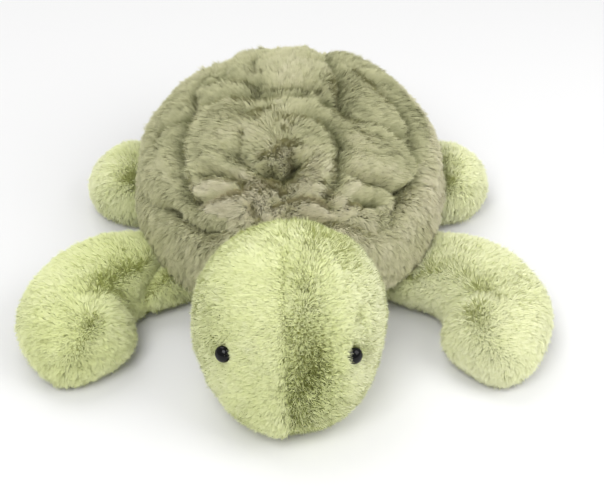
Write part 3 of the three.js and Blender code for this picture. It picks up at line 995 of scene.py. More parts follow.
@dataclass(frozen=True)
class Crease:
    """A seam or fold drawn into the stuffed shell.

    Args:
        corners: The places that it runs through, in mm from the shell's middle.
        depth: How deep it is drawn in, mm.
        width: How fast it fades to its sides, mm.
        pillow: The middle of the pillow that stands up beside it and hangs over it.
    """

    corners: tuple[tuple[float, float], ...]
    depth: float
    width: float = 3.8
    pillow: tuple[float, float] | None = None

    # Depths are shares of the crease's own, or the depth in mm that counts in full. Widths and distances are
    # in mm, but for NARROW. What ends in FROM says how far to the pillow's side something starts.
    SINK, NARROW = 1.4, 0.85
    RIDGE, RIDGE_AWAY, RIDGE_WIDTH = 0.4, 6.0, 4.5
    BEHIND, BEHIND_WIDTH, BEHIND_FROM = 0.6, 9.0, 0.4
    HANG_FULL, HANG_WIDTH, HANG_FROM = 8.0, 7.0, 0.3
    # SHADE, SHADOW and PLAIN_SHADE are painted shade: the pile in a crease and on its far side is painted
    # darker, as its shadow
    SHADE_FULL, SHADE_FROM, SHADE_LEAST = 6.0, 0.9, 0.35
    SHADOW_WIDTH, SHADOW_SLOPE = 6.0, 1.3
    PLAIN_SHADE_FULL = 8.0

    def draw(self, places: Array) -> Drawn:
        """Measures what the crease does at places on the plain dome."""
        distance, nearest = nearest_on(places, BODY.on_dome(smooth_rows(self.corners, 4)))
        hollow = dip(distance, self.SINK * self.depth, self.NARROW * self.width)
        if self.pillow is None:
            # Painted shade, as deep as the hollow
            dark = hollow / self.PLAIN_SHADE_FULL
            return Drawn(hollow, np.zeros(len(places)), distance, dark, np.zeros_like(places))
        inward = unit(BODY.on_dome(np.array([self.pillow], float)) - nearest)
        side = ((places - nearest) * inward).sum(1) / np.maximum(distance, 1e-6)
        ridge = dip(distance - self.RIDGE_AWAY, self.RIDGE * self.depth, self.RIDGE_WIDTH)
        behind = dip(distance, self.BEHIND * self.depth, self.BEHIND_WIDTH)
        behind *= np.clip(self.BEHIND_FROM - side, 0, 1)
        hang = dip(distance, self.depth / self.HANG_FULL, self.HANG_WIDTH)
        hang *= np.clip(side + self.HANG_FROM, 0, 1)
        # Painted shade in the crease, and a painted shadow on its far side
        shade = dip(distance, self.depth / self.SHADE_FULL, self.NARROW * self.width)
        shade *= np.clip(self.SHADE_FROM - side, self.SHADE_LEAST, 1)
        shadow = dip(distance, self.depth / self.SHADE_FULL, self.SHADOW_WIDTH)
        shadow *= np.clip(-self.SHADOW_SLOPE * side, 0, 1)
        return Drawn(
            np.maximum(hollow, behind),
            ridge * np.clip(side, 0, 1),
            distance,
            np.maximum(shade, shadow),
            -inward * hang[:, None],
        )


CENTRE, RIGHT_LATERAL, LEFT_LATERAL = (-26, -46), (61, -51), (-79, -29)

# The folds and seams of the quilting. Names tell where each one runs, seen from the front.
CREASES = {
    "centre scute, left edge and top": Crease(
        (
            (-57, -81), (-63, -75), (-67, -56), (-69, -33), (-67, -22), (-61, 0), (-53, 5), (-34, 5),
            (-19, -4), (-4, 0), (13, -2), (21, -7),
        ),
        8.0, 3.8, CENTRE,
    ),
    "notch behind it": Crease(((-25, 19), (-23, 10), (-23, 0)), 6.0, 3.0),
    "valley behind it": Crease(((-23, 9), (-9, 8), (5, 9)), 4.5, 6.0),
    "valley's rear edge": Crease(((-25, 17), (-11, 17), (6, 18), (16, 12)), 5.5, 3.4),
    "left lateral scute, top": Crease(
        ((-92, -2), (-80, -2), (-71, -3), (-63, 0), (-57, 4)), 7.0, 3.5, LEFT_LATERAL
    ),
    "second row, top": Crease(((-82, 37), (-63, 34), (-49, 33), (-35, 28), (-25, 22)), 5.5, 3.5, (-50, 15)),
    "third row, left": Crease(((-72, 42), (-63, 45), (-58, 49), (-48, 47)), 5.0, 3.6, (-55, 38)),
    "rear left of the rim": Crease(((-54, 65), (-40, 71), (-21, 81), (-5, 95)), 6.5, 3.5),
    "third row, middle": Crease(((-22, 40), (-24, 55), (-26, 72)), 4.5, 3.0),
    "right of the rim": Crease(
        ((26, 70), (38, 64), (48, 49), (58, 34), (69, 20), (76, 6), (78, -6), (82, -17)), 5.5, 3.2
    ),
    "long crease on the right": Crease(
        ((23, 106), (19, 92), (24, 63), (28, 39), (30, 23), (29, 9), (31, -4), (34, -12)), 5.0, 3.2, (-5, 45)
    ),
    "centre scute, right arc": Crease(
        ((9, -24), (14, -24), (19, -28), (24, -35), (30, -47)), 8.0, 3.6, (8, -50)
    ),
    "below the right arc": Crease(
        ((30, -47), (28, -54), (30, -61), (35, -66), (45, -69)), 4.5, 3.0, RIGHT_LATERAL
    ),
    "centre scute, right edge": Crease(
        ((30, -47), (28, -54), (29, -63), (28, -77), (22, -86), (24, -92)), 6.5, 3.6, (4, -62)
    ),
    "right lateral scute, top": Crease(
        ((49, -18), (55, -17), (62, -19), (72, -24), (77, -28), (82, -31), (85, -36)), 9.5, 4.2, RIGHT_LATERAL
    ),
    "right lateral scute, tip": Crease(
        ((85, -37), (81, -50), (75, -60), (70, -66), (71, -72), (68, -81)), 10.5, 4.2, RIGHT_LATERAL
    ),
    "right lateral scute, bottom": Crease(
        ((45, -69), (52, -69), (60, -67), (68, -66)), 5.0, 3.5, RIGHT_LATERAL
    ),
    "small pillow, top": Crease(((42, -88), (49, -88), (53, -87), (58, -87), (63, -84)), 8.5, 4.0, (50, -97)),
    "small pillow, side": Crease(((58, -87), (58, -92), (60, -95)), 5.0, 3.5),
    "front right of the rim": Crease(
        (
            (-1, -104), (17, -104), (34, -102), (51, -100), (58, -97), (66, -89), (71, -79), (77, -66),
            (84, -50),
        ),
        5.5, 3.5,
    ),
    "front arc": Crease(((-9, -95), (0, -93), (8, -91), (16, -91), (22, -93)), 3.2, 2.8, (9, -98)),
    "front, small fold": Crease(((-7, -104), (-3, -100), (1, -98)), 2.5, 2.4),
    "front, curved fold": Crease(((-25, -94), (-23, -99), (-20, -103)), 2.5, 2.4),
    "front left of the rim": Crease(
        (
            (-97, -39), (-90, -55), (-80, -71), (-71, -82), (-63, -92), (-54, -99), (-46, -103), (-38, -103),
        ),
        5.0, 3.8,
    ),
    "gap at the left": Crease(((-86, -63), (-78, -73), (-72, -81)), 14.0, 4.4),
    "gap at the lower left": Crease(((-65, -89), (-59, -95), (-54, -99), (-49, -100)), 13.0, 4.2),
    "left front pillow, top": Crease(((-57, -81), (-52, -82), (-44, -83), (-34, -82)), 5.0, 3.0, (-37, -95)),
    "inner fold": Crease(((-55, -62), (-51, -62), (-46, -64), (-40, -68), (-32, -75)), 4.5, 3.0, (-46, -48)),
    "lid over the pulled place": Crease(
        ((-31, -54), (-28, -60), (-24, -64), (-19, -68), (-14, -72)), 4.5, 3.0, (-14, -56)
    ),
    "pulled place": Crease(((-14, -68), (-9, -70), (-4, -70), (-1, -65), (2, -59)), 13.0, 4.4, (-8, -50)),
    "under the pulled place": Crease(((-4, -77), (-4, -85)), 3.5, 4.0),
    "streak beside the lid": Crease(((-30, -37), (-29, -50), (-30, -56)), 1.2, 3.0),
    "rear cross seam": Crease(((-64, 55), (-42, 58), (-21, 61), (4, 57), (30, 52)), 4.5, 3.6),
    "rear left seam": Crease(((-64, 55), (-55, 76), (-43, 97)), 5.0, 3.6),
    "left seam": Crease(((-65, 6), (-65, 30), (-64, 55), (-82, 51)), 4.5, 3.6),
    "rear right seam": Crease(((30, 52), (57, 47), (84, 45)), 4.5, 3.6),
}


@dataclass(frozen=True)
class Pull:
    """A place where thread draws the cover in: where it is, how deep and how wide, mm."""

    place: tuple[float, float]
    depth: float
    width: float


PULLS = (
    Pull((-27, -17), 5.0, 3.6), Pull((22, -76), 4.5, 4.0), Pull((26, -67), 4.0, 3.5),
    Pull((71, -67), 8.0, 6.0), Pull((53, -87), 5.0, 5.0), Pull((-78, -72), 6.0, 6.0),
    Pull((-55, -98), 5.0, 6.0), Pull((33, -7), 5.0, 5.0),
)


@dataclass(frozen=True)
class Quilting:
    """What sewing and stuffing do to the plain dome: creases, pulled places, and pillows between them. In mm.

    Args:
        seam_share: Where the cover is sewn to the rim, across and along, as shares of the half sizes.
        seam_depth: How deep that seam lies.
        seam_width: How fast it fades.
        mean_half: The shell's half size, for the distance from that seam.
        slope: How far the pillows fall to their creases.
        slope_width: Over what distance they fall.
        slope_full: How deep a crease is that they fall to in full.
        puff: How far the pillows rise over the plain dome.
        wander: How far the creases stray.
        wander_size: How far apart their bends are.
        pull_full: How deep a pull is that gets the full painted shade.
        darkest: The most painted shade that creases and pulls give together.
        low_share: Over what share of the half sizes the quilting fades at the dome's foot.
    """

    seam_share: tuple[float, float] = (0.88, 0.82)
    seam_depth: float = 2.6
    seam_width: float = 4.0
    mean_half: float = 92.0
    slope: float = 6.0
    slope_width: float = 13.0
    slope_full: float = 7.0
    puff: float = 3.5
    wander: float = 0.8
    wander_size: float = 14.0
    pull_full: float = 8.0
    darkest: float = 1.4
    low_share: float = 0.06

    def relief(self, points: Array) -> tuple[Array, Array, Array]:
        """How the quilting shapes the shell.

        Args:
            points: Places on the plain dome.

        Returns:
            How deep each place lies below the plain dome in mm, how much painted shade the creases and pulls
            put on it, and which way its pile hangs over them.
        """
        places = points + self.wander * noise_vectors(points, self.wander_size, 31) * (1, 1, 0)
        hollow, ridge, dark = (np.zeros(len(points)) for _ in range(3))
        distance, over = np.full(len(points), FAR), np.zeros_like(points)
        for crease in CREASES.values():
            drawn = crease.draw(places)
            hollow, ridge = np.maximum(hollow, drawn.hollow), np.maximum(ridge, drawn.ridge)
            distance = np.minimum(distance, drawn.distance * self.slope_full / crease.depth)
            dark = np.maximum(dark, drawn.dark)
            over += drawn.over
        for pull in PULLS:
            middle = BODY.on_dome(np.array([pull.place], float))
            pulled = dip(np.linalg.norm(places - middle, axis=1), pull.depth, pull.width)
            hollow += pulled
            # Painted shade in each pulled place, as deep as it is drawn in
            dark += pulled / self.pull_full
        wide, long = self.seam_share
        share = np.hypot(points[:, 0] / wide / BODY.half_width, points[:, 1] / long / BODY.half_length)
        sewn = dip(np.abs(1 - share) * self.mean_half, self.seam_depth, self.seam_width)
        low = np.clip((1.0 - BODY.shares(points)) / self.low_share, 0, 1)
        total = np.maximum(hollow, sewn) + dip(distance, self.slope, self.slope_width) - self.puff - ridge
        return total * low, np.clip(dark, 0, self.darkest) * low, over * low[:, None]


@dataclass(frozen=True)
class CoverLay:
    """How the cover's pile stands: brushed outwards and down, with swirls, and parted over the seams.

    Args:
        crown: The place along Y that it is brushed away from, mm.
        turn: Over how many mm in front of the crown the brushing turns sideways.
        parting: How far to the toy's right it parts in front, mm.
        sideways: How much more it is brushed sideways in front.
        forwards: How much less it is brushed forwards there.
        full_at: How far from the crown the brushing is at its full, mm.
        most: The most that it leans by brushing.
        swirl: Strengths of the wide and of the narrow swirls.
        upright: How much it keeps the dome's direction on the pillows' slopes.
        hang: How much it hangs over the creases.
        length: Its length, as a share of the pile's own.
        trimmed: How much shorter it is in a crease.
        tone: Its shade.
        side_fall: How much darker it is painted at the toy's right, the middle and the left, SIDE_AT mm out,
            as painted shade on those slopes.
        front_gain: How much paler it is painted over the places along Y in FRONT, as painted light on the
            front slope.
        shaded: How much painted shade a crease puts on it.
    """

    crown: float = 20.0
    turn: float = 30.0
    parting: float = 6.0
    sideways: float = 0.6
    forwards: float = 0.75
    full_at: float = 55.0
    most: float = 1.05
    swirl: tuple[float, float] = (0.55, 0.25)
    upright: float = 1.3
    hang: float = 1.1
    length: float = 1.04
    trimmed: float = 0.36
    tone: float = 0.58
    side_fall: tuple[float, float, float] = (0.12, 0.02, 0.24)
    front_gain: float = 0.42
    shaded: float = 0.62

    SIDE_AT, FRONT = (-80, 0, 80), (-50, -85)

    def lay(self, cloth: Skin, plain: Array, places: Array, near: Array, over: Array) -> Lay:
        """Brushes the pile.

        Args:
            cloth: The quilted cloth.
            plain: The outward directions of the dome without quilting.
            places: The dome's points.
            near: How much painted shade the creases put on each.
            over: Which way the pile hangs over the creases.

        Returns:
            The lay.
        """
        normals, (x, y, _) = cloth.normals(), cloth.points.T
        front = fade(y, self.crown, self.crown - self.turn)
        outward = np.column_stack(
            [
                (x + self.parting * front) * (1 + self.sideways * front),
                (y - self.crown) * (1 - self.forwards * front),
                np.zeros(len(places)),
            ]
        )
        strength = np.clip(np.linalg.norm(outward, axis=1) / self.full_at, 0, self.most)
        comb = unit(along(outward, normals)) * strength[:, None]
        comb += self.swirl[0] * noise_vectors(places, 32, 41) + self.swirl[1] * noise_vectors(places, 12, 51)
        comb += self.upright * (plain - normals) + self.hang * over
        # Painted shade on the sides and in the creases, and painted light on the front slope
        tone = self.tone - np.interp(places[:, 0], self.SIDE_AT, self.side_fall) - self.shaded * near
        tone += self.front_gain * fade(places[:, 1], *self.FRONT)
        length = rippled(self.length - self.trimmed * near, places, (0.08, 16, 61))
        return Lay(along(comb, normals), length, rippled(tone, places, (0.17, 20, 71), (0.08, 7, 72)))


@dataclass(frozen=True)
class RimLay:
    """How the rim's pile stands: brushed outwards and down, thinner and shorter where it tucks under.

    Args:
        outwards: How much it is brushed outwards.
        down: How much it is brushed down.
        strength: How much it leans by that.
        swirl: Strengths of the wide and of the narrow swirls.
        length: Its length, as a share of the pile's own.
        trimmed: How much shorter it is in a crease.
        shortest: The least share of that length that is left where it tucks under.
        thinnest: The least cover that is left there.
        tone: Its shade.
        side_gain: How much paler it is painted towards the toy's left, as painted light on that side.
        shaded: How much painted shade a crease puts on it.
        tuck_from: How high the tuck starts, mm.
        tuck_run: Over how many mm it ends.
    """

    outwards: float = 0.7
    down: float = 0.9
    strength: float = 1.3
    swirl: tuple[float, float] = (0.5, 0.3)
    length: float = 0.98
    trimmed: float = 0.4
    shortest: float = 0.6
    thinnest: float = 0.25
    tone: float = 0.62
    side_gain: float = 0.14
    shaded: float = 0.4
    tuck_from: float = 20.0
    tuck_run: float = 14.0

    def lay(self, cloth: Skin, near: Array) -> Lay:
        """Brushes the pile, and paints it darker the nearer it is to a crease."""
        points, normals = cloth.points, cloth.normals()
        outward = unit(points * (1, 1, 0) * (1, BODY.half_width / BODY.half_length, 1))
        down = along(outward * self.outwards + np.array([0, 0, -self.down]), normals)
        comb = unit(down) * self.strength + self.swirl[0] * noise_vectors(points, 34, 91)
        comb += self.swirl[1] * noise_vectors(points, 10, 95)
        tucked = np.clip((points[:, 2] - self.tuck_from) / self.tuck_run, self.thinnest, 1)
        # Painted light towards the toy's left, and painted shade near the creases
        tone = self.tone + self.side_gain * points[:, 0] / BODY.half_width - self.shaded * near
        length = rippled(self.length - self.trimmed * near, points, (0.08, 18, 99))
        length *= np.clip(tucked + 0.3, self.shortest, 1)
        tone = rippled(tone, points, (0.12, 24, 97), (0.08, 8, 98))
        return Lay(along(comb, normals), length, tone, 1.0, tucked)


@dataclass(frozen=True)
class Shell:
    """The quilted cover, the rolled rim and the belly panel, with the pellet pouch inside. Sizes in mm."""

    quilting: Quilting = Quilting()
    cover_lay: CoverLay = CoverLay()
    rim_lay: RimLay = RimLay()
    cloth_inset: float = 5.6
    around: int = 300
    rings: int = 110
    sectors: int = 8
    rim_full: float = 1.5
    rim_full_right: float = 2.0
    rim_rise: float = 0.35
    rim_ripple: float = 1.2
    belly_inset: float = 1.6

    # The rim's section from its seam outwards: how far out as a share, and the heights of its lower stations
    RIM_OUT = (0.0, 0.15, 0.3, 0.5, 0.74, 0.95, 1.04, 1.0, 0.75, 0.3, 0.0)
    RIM_HEIGHTS = (49.0, 38.0, 29.5, 25.0, 24.5, 25.0)
    UPPER = (40, 48)  # between which heights the cover's quilting fades into the rim, mm
    # The belly panel: how far out as a share, and how high
    BELLY = ((0.02, 0.0), (0.3, 0.0), (0.6, 0.0), (0.75, 0.4), (0.845, 8.4), (0.888, 21.6), (0.86, 32.0))
    # The pouch: its half sizes, its lower face and its thickness, and its section as shares of them
    POUCH_HALVES, POUCH_LOW, POUCH_THICK, GRAIN, GRAIN_SIZE = (51, 65), 3.2, 11.6, 0.35, 4.5
    POUCH = ((0.0, 0.0), (0.6, 0.02), (0.9, 0.1), (1.0, 0.45), (0.7, 0.9), (0.35, 0.99), (0.0, 1.0))

    def build(self, finishes: Finishes) -> None:
        """Builds all the shell's pieces."""
        self._cover(finishes)
        self._rim(finishes)
        self._belly(finishes)
        self._pouch(finishes)

    def _cover(self, finishes: Finishes) -> None:
        """The quilted dome and its pile."""
        turns = circle(self.around)
        rings = [np.array([[0.0, 0.0, BODY.height]])]
        wide, long = self.quilting.seam_share
        for share in np.linspace(0, 1, self.rings + 1)[1:]:
            across, back = wide * share * np.cos(turns), long * share * np.sin(turns)
            level = BODY.dome(across, back)
            rings.append(np.stack([across * BODY.half_width, back * BODY.half_length, level], 1))
        dome = loft(rings).looking((0, 0, 1))
        plain = dome.normals()
        depth, near, over = self.quilting.relief(dome.points)
        cloth = Skin(dome.points - plain * (self.cloth_inset + depth)[:, None], dome.triangles)
        piece = cloth.piece("shell_cover_cloth", finishes["shell_backing"])
        self._settle(piece, "long_pile", "shell_cover", "body_stuffing")
        blades = LONG_PILE.grow(cloth, self.cover_lay.lay(cloth, plain, dome.points, near, over), 11)
        self._grown(blades, "shell_cover_pile", finishes["shell_fibre"])

    def _rim(self, finishes: Finishes) -> None:
        """The rolled band of pile round the dome."""
        turns = circle(self.around)
        wide, long = self.quilting.seam_share
        out = np.array(self.RIM_OUT)[:, None]
        across = (wide + (1 - wide) * out) * np.cos(turns)
        back = (long + (1 - long) * out) * np.sin(turns)
        level = BODY.dome(across, back)
        level[-len(self.RIM_HEIGHTS) :] = np.array(self.RIM_HEIGHTS)[:, None]
        rings = list(smooth_rows(np.stack([across * BODY.half_width, back * BODY.half_length, level], 2), 3))
        band = loft(rings)
        band = band.looking(band.points * (1, 1, 0))
        depth, near, _ = self.quilting.relief(band.points)
        upper = fade(band.points[:, 2], *self.UPPER)
        full = self.rim_full * (1 - upper)
        full += self.rim_full_right * np.clip(-band.points[:, 0] / BODY.half_width, 0, 1)
        ripple = self.rim_ripple * value_noise(band.points, 28, 81)
        moves = full - self.cloth_inset - depth * upper + ripple * (1 - upper)
        shift = band.normals() * moves[:, None]
        shift[:, 2] *= np.where(shift[:, 2] > 0, self.rim_rise, 1.0)
        cloth = Skin(band.points + shift, band.triangles)
        piece = cloth.piece("shell_rim_cloth", finishes["shell_backing"])
        self._settle(piece, "long_pile", "shell_rim")
        blades = LONG_PILE.grow(cloth, self.rim_lay.lay(cloth, near * upper), 12)
        self._grown(blades, "shell_rim_pile", finishes["shell_fibre"])

    def _belly(self, finishes: Finishes) -> None:
        """The flat panel that the toy lies on."""
        turns = circle(120)
        rings = [
            ring(turns, (0, 0, level), (share * BODY.half_width, 0, 0), (0, share * BODY.half_length, 0))
            for share, level in smooth_rows(self.BELLY, 4)
        ]
        panel = loft([np.zeros((1, 3)), *rings]).looking((0, 0, -1))
        cloth = panel.moved(-self.belly_inset)
        piece = cloth.piece("belly_panel_cloth", finishes["lime_backing"])
        self._settle(piece, "short_pile", "belly_panel")
        comb = along(np.array([0, 0.9, 0]) + 0.5 * noise_vectors(cloth.points, 30, 101), cloth.normals())
        lay = Lay(comb, 1.0, rippled(0.5, cloth.points, (0.2, 20, 103)))
        pile = HIDDEN_PILE.grow(cloth, lay, 13).piece("belly_panel_pile", finishes["lime_fibre"])
        self._settle(pile, "short_pile")

    def _pouch(self, finishes: Finishes) -> None:
        """The flat bag of pellets in the belly."""
        turns = circle(48)
        wide, long = self.POUCH_HALVES
        profile = smooth_rows(self.POUCH, 3)
        rings = [
            ring(turns, (0, 0, self.POUCH_LOW + up * self.POUCH_THICK), (out * wide, 0, 0), (0, out * long, 0))
            for out, up in profile
        ]
        bag = loft([rings[0][:1], *rings[1:-1], rings[-1][:1]])
        grains = self.GRAIN * value_noise(bag.points, self.GRAIN_SIZE, 111)
        piece = bag.moved(grains).piece("pellet_pouch_bag", finishes["cotton"])
        self._settle(piece, "pouch_cloth", "pellet_pouch")

    @staticmethod
    def _settle(piece: Object, slot: str, *nodes: str) -> None:
        """Ties a piece to the body, and hides the CAD nodes that it stands for."""
        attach(piece, "body")
        if nodes:
            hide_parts(*nodes)

    def _grown(self, blades: Blades, name: str, material: Material) -> None:
        """Writes pile in sectors round the shell, so that none is too big for a mesh export."""
        turn = (np.arctan2(blades.points[:, 0, 1], blades.points[:, 0, 0]) / (2 * np.pi)) % 1
        sector = np.minimum((turn * self.sectors).astype(int), self.sectors - 1)
        for number in range(self.sectors):
            pile = blades.part(sector == number).piece(f"{name}_{number + 1}", material)
            self._settle(pile, "long_pile")


# Head


@dataclass(frozen=True)
class Head:
    """Two side panels that meet in the centre seam, a chin gusset, and the eyes. Sizes in mm."""

    reach: float = 94.0
    half_width: float = 55.5
    height: float = 103.0
    chin_seam: float = 12.0
    start: float = -130.0
    cloth_inset: float = 1.9
    slack: float = 2.0
    hidden: float = 14.0
    around: int = 72
    steps: int = 6
    pile_parts: float = -180.0
    uneven: float = 0.9
    length: float = 0.88
    tone: float = 0.58

    # Place along the head, half width, low and high edge, as shares of its sizes
    STATIONS = (
        (-0.32, 0.0, 0.35, 0.35), (-0.28, 0.39, 0.175, 0.52), (-0.18, 0.68, 0.06, 0.72),
        (-0.02, 0.89, 0.01, 0.9), (0.15, 0.97, 0.0, 0.985), (0.4, 1.0, 0.0, 0.995), (0.62, 0.94, 0.0, 0.91),
        (0.78, 0.79, 0.03, 0.78), (0.91, 0.54, 0.09, 0.6), (0.98, 0.27, 0.184, 0.45), (1.0, 0.0, 0.31, 0.31),
    )
    # The pulled places: the tuck under the seam and the dimple above the left eye
    TUCK, DIMPLE = (8, -216, 15), (42.5, -188.0, 73.0)
    TUCK_SIZE, DIMPLE_SIZE = (4.0, 6.0), (5.0, 4.5)
    # The centre seam: how deep and wide, how far it strays, and how far the right panel laps over it low down
    SEAM, STRAY, LAP, LAP_AT, LAP_WIDTH = (1.5, 1.6), 1.6, 1.8, -5, 4.5
    LAP_FADES = (70, 45)  # between which heights the lap fades
    # The full chin: how high it is, how far it stands out and how wide, and where along Y it comes in
    CHIN_AT, CHIN, CHIN_FADES = 20, (4.5, 18), (-185, -210)
    # How much painted shade the seam, the dimple and the patch put on the pile, how much two of them
    # shorten it, and how much more the patch gathers it
    SEAM_SHADE, DIMPLE_SHADE, PATCH_SHADE = 0.12, 0.5, 0.16
    SEAM_TRIM, DIMPLE_TRIM, PATCH_GATHER = 0.2, 0.4, 4.5
    # Places across the seam, and how far the pile is brushed to the toy's left there
    ACROSS, SIDEWAYS = (-8, 0, 6, 24), (-1.0, -0.6, -0.2, 0.8)
    # The ruffled patch: its middle and its half sizes along X and Z; how much of the lay it loses; how far
    # it stands
    PATCH_AT, PATCH_SIZE, RUFFLED = (15, 60), (17, 28), (0.8, 0.45)
    # The hollow combed round an eye: how far it reaches, how strongly, and the bare disc under the eye
    HOLLOW, AWAY, BARE, BARE_EDGE = 8.5, 1.1, 4.9, 1.2

    def build(self, finishes: Finishes) -> None:
        """Builds the panels, their pile and the eyes."""
        cloth = self._creased(Stuffing().filled(self._form()))
        middles = cloth.middles()
        seen = ~BODY.holds(middles, self.hidden)
        chin = middles[:, 2] < self.chin_seam
        panels = {
            "head_panel_left": (seen & ~chin & (middles[:, 0] >= 0), ("head_panel_left", "head_stuffing")),
            "head_panel_right": (seen & ~chin & (middles[:, 0] < 0), ("head_panel_right",)),
            "chin_gusset": (seen & chin, ("chin_gusset",)),
        }
        for seed, (name, (keep, nodes)) in enumerate(panels.items()):
            panel = cloth.part(keep)
            piece = panel.piece(f"{name}_cloth", finishes["lime_backing"])
            self._settle(piece)
            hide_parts(*nodes)
            pile = SHORT_PILE.grow(panel, self._lay(panel), 21 + seed)
            for end, half in pile.halves(self.pile_parts).items():
                self._settle(half.piece(f"{name}_pile_{end}", finishes["lime_fibre"]))
        for side in Side:
            Eye(side).build(finishes["eye_plastic"])

    def _form(self) -> Skin:
        """The head's closed form, slightly slack."""
        rings = [
            tube_ring(
                self.around,
                self.start - place * self.reach,
                width * self.half_width,
                low * self.height,
                high * self.height,
            )
            for place, width, low, high in smooth_rows(self.STATIONS, self.steps)
        ]
        return loft(rings).moved(-self.cloth_inset - self.slack)

    def _creased(self, cloth: Skin) -> Skin:
        """Draws the centre seam, its tuck and the dimple into the stuffed skin."""
        x, y, z = cloth.points.T
        off = x - self.STRAY * value_noise(cloth.points * (0, 1, 1), 22, 121)
        sunk = dip(np.abs(off), *self.SEAM)
        lap = dip(off - self.LAP_AT, self.LAP, self.LAP_WIDTH) * fade(z, *self.LAP_FADES)
        tuck, pulled = (
            dip(np.linalg.norm(cloth.points - place, axis=1), *size)
            for place, size in ((self.TUCK, self.TUCK_SIZE), (self.DIMPLE, self.DIMPLE_SIZE))
        )
        chin = dip(z - self.CHIN_AT, *self.CHIN) * fade(y, *self.CHIN_FADES)
        uneven = self.uneven * value_noise(cloth.points, 26, 123) + chin
        return cloth.moved(lap + uneven - sunk - tuck - pulled).above_floor()

    def _lay(self, panel: Skin) -> Lay:
        """How the head's pile stands.

        On the toy's right it is brushed out from the seam and lies smooth. On its left a patch in front is
        brushed up, so that its tips stand apart.

        Args:
            panel: The stuffed and creased panel.

        Returns:
            The lay.
        """
        points, normals = panel.points, panel.normals()
        x, y, z = points.T
        left = x >= 0
        sideways = np.interp(x, self.ACROSS, self.SIDEWAYS)
        upwards = np.where(left, 0.3, -0.45 * fade(z, 80, 40))
        comb = along(np.column_stack([sideways, np.full(len(points), -0.1), upwards]), normals)
        comb += 0.4 * noise_vectors(points, 24, 131) + 0.2 * noise_vectors(points, 8, 135)
        (middle, level), (wide, high) = self.PATCH_AT, self.PATCH_SIZE
        patch = np.exp(-(((x - middle) / wide) ** 2) - ((z - level) / high) ** 2)
        patch = np.where(x > -2, patch * fade(y, -170, -190), 0)
        comb = brushed_up(comb, normals, patch, BRUSHED_UP, *self.RUFFLED)
        seam, dark = dip(x, 1.0, 1.8), dip(np.linalg.norm(points - self.DIMPLE, axis=1), 1.0, 4.5)
        length = rippled(self.length, points, (0.08, 14, 137)) - self.SEAM_TRIM * seam
        cover = np.ones(len(points))
        for eye in Eye.SEATS.values():
            away = points - eye
            distance = np.linalg.norm(away, axis=1)
            close = dip(distance, 1.0, self.HOLLOW)[:, None]
            beside = np.clip(1.5 - np.abs(away[:, 2]) / np.maximum(distance, 1e-6) * 2, -1, 1)[:, None]
            comb = comb * (1 - close) - along(unit(away), normals) * self.AWAY * beside * close
            length *= 1 - (0.45 - 0.4 * beside[:, 0]) * close[:, 0]
            cover *= np.clip((distance - self.BARE + 2.0 * beside[:, 0]) / self.BARE_EDGE, 0, 1)
        tone = rippled(self.tone, points, (0.1, 20, 138), (0.06, 6, 139))
        # Painted light: the pile on the toy's left is painted paler towards its edge; painted shade in the
        # patch, the seam and the dimple
        tone += np.where(left, 0.08 + 0.28 * fade(x, 22, 44), 0.08) - self.PATCH_SHADE * patch
        tone -= self.SEAM_SHADE * seam + self.DIMPLE_SHADE * dark
        length -= self.DIMPLE_TRIM * dark
        return Lay(along(comb, normals), length, tone, 1 + self.PATCH_GATHER * patch, cover)

    @staticmethod
    def _settle(piece: Object) -> None:
        """Bakes the piece's place into its points."""
        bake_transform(piece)


@dataclass(frozen=True)
class Eye:
    """A domed plastic eye on its stem, turned smoothly from the CAD eye's place and sizes, in mm."""

    side: Side
    dome_radius: float = 5.0
    dome_height: float = 4.4
    around: int = 48

    SEATS = {Side.LEFT: (36.9, -203.9, 57.3), Side.RIGHT: (-36.9, -203.6, 58.9)}
    LIFTS = {Side.LEFT: 0.0, Side.RIGHT: 1.2}
    # Radius and height of the stem and of the flange under the dome
    STEM = ((0, -8), (1.2, -8), (1.6, -7.5), (1.6, -0.2), (1.9, 0.1), (4.4, 0.15), (4.85, 0.4))
    FLANGE = 0.8

    def build(self, material: Material) -> None:
        """Builds the eye."""
        node = f"eye_{self.side.word}"
        outward = Vector((0.4685 * self.side.value, -0.8088, 0.3553)).normalized()
        vertices = bpy.data.objects[node].data.vertices
        top = max((vertex.co for vertex in vertices), key=lambda co: co.dot(outward))
        seat = np.array(top - outward * self.dome_height * MM) / MM - ROW_SHIFT + (0, 0, self.LIFTS[self.side])
        round_height = self.dome_height - self.FLANGE
        dome = [
            (self.dome_radius * math.cos(rise), self.FLANGE + round_height * math.sin(rise))
            for rise in np.linspace(0, np.pi / 2, 14)[:-1]
        ]
        turn = np.array(Vector((0, 0, 1)).rotation_difference(outward).to_matrix()).T
        rings = []
        for radius, height in (*self.STEM, *dome, (0, self.dome_height)):
            turns = circle(self.around if radius else 1)
            rings.append(ring(turns, (0, 0, height), (radius, 0, 0), (0, radius, 0)) @ turn + seat)
        skin = loft(rings)
        piece = skin.looking(skin.points - skin.points.mean(0)).piece(f"{node}_dome", material)
        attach(piece, "head")
        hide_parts(node)


# Flippers


@dataclass(frozen=True)
class Fold:
    """A crease across a stuffed flipper: its corners in mm on the left, how deep it is and how wide."""

    corners: tuple[tuple[float, float], ...]
    depth: float
    width: float

    def distance(self, points: Array) -> Array:
        """How far each point is from it, seen from above."""
        return nearest_on(points[:, :2], smooth_rows(self.corners, 4))[0]


@dataclass(frozen=True)
class Patch:
    """A round patch of pile that is brushed up: its middle in mm on the left, its radius and how strongly."""

    x: float
    y: float
    radius: float
    strength: float


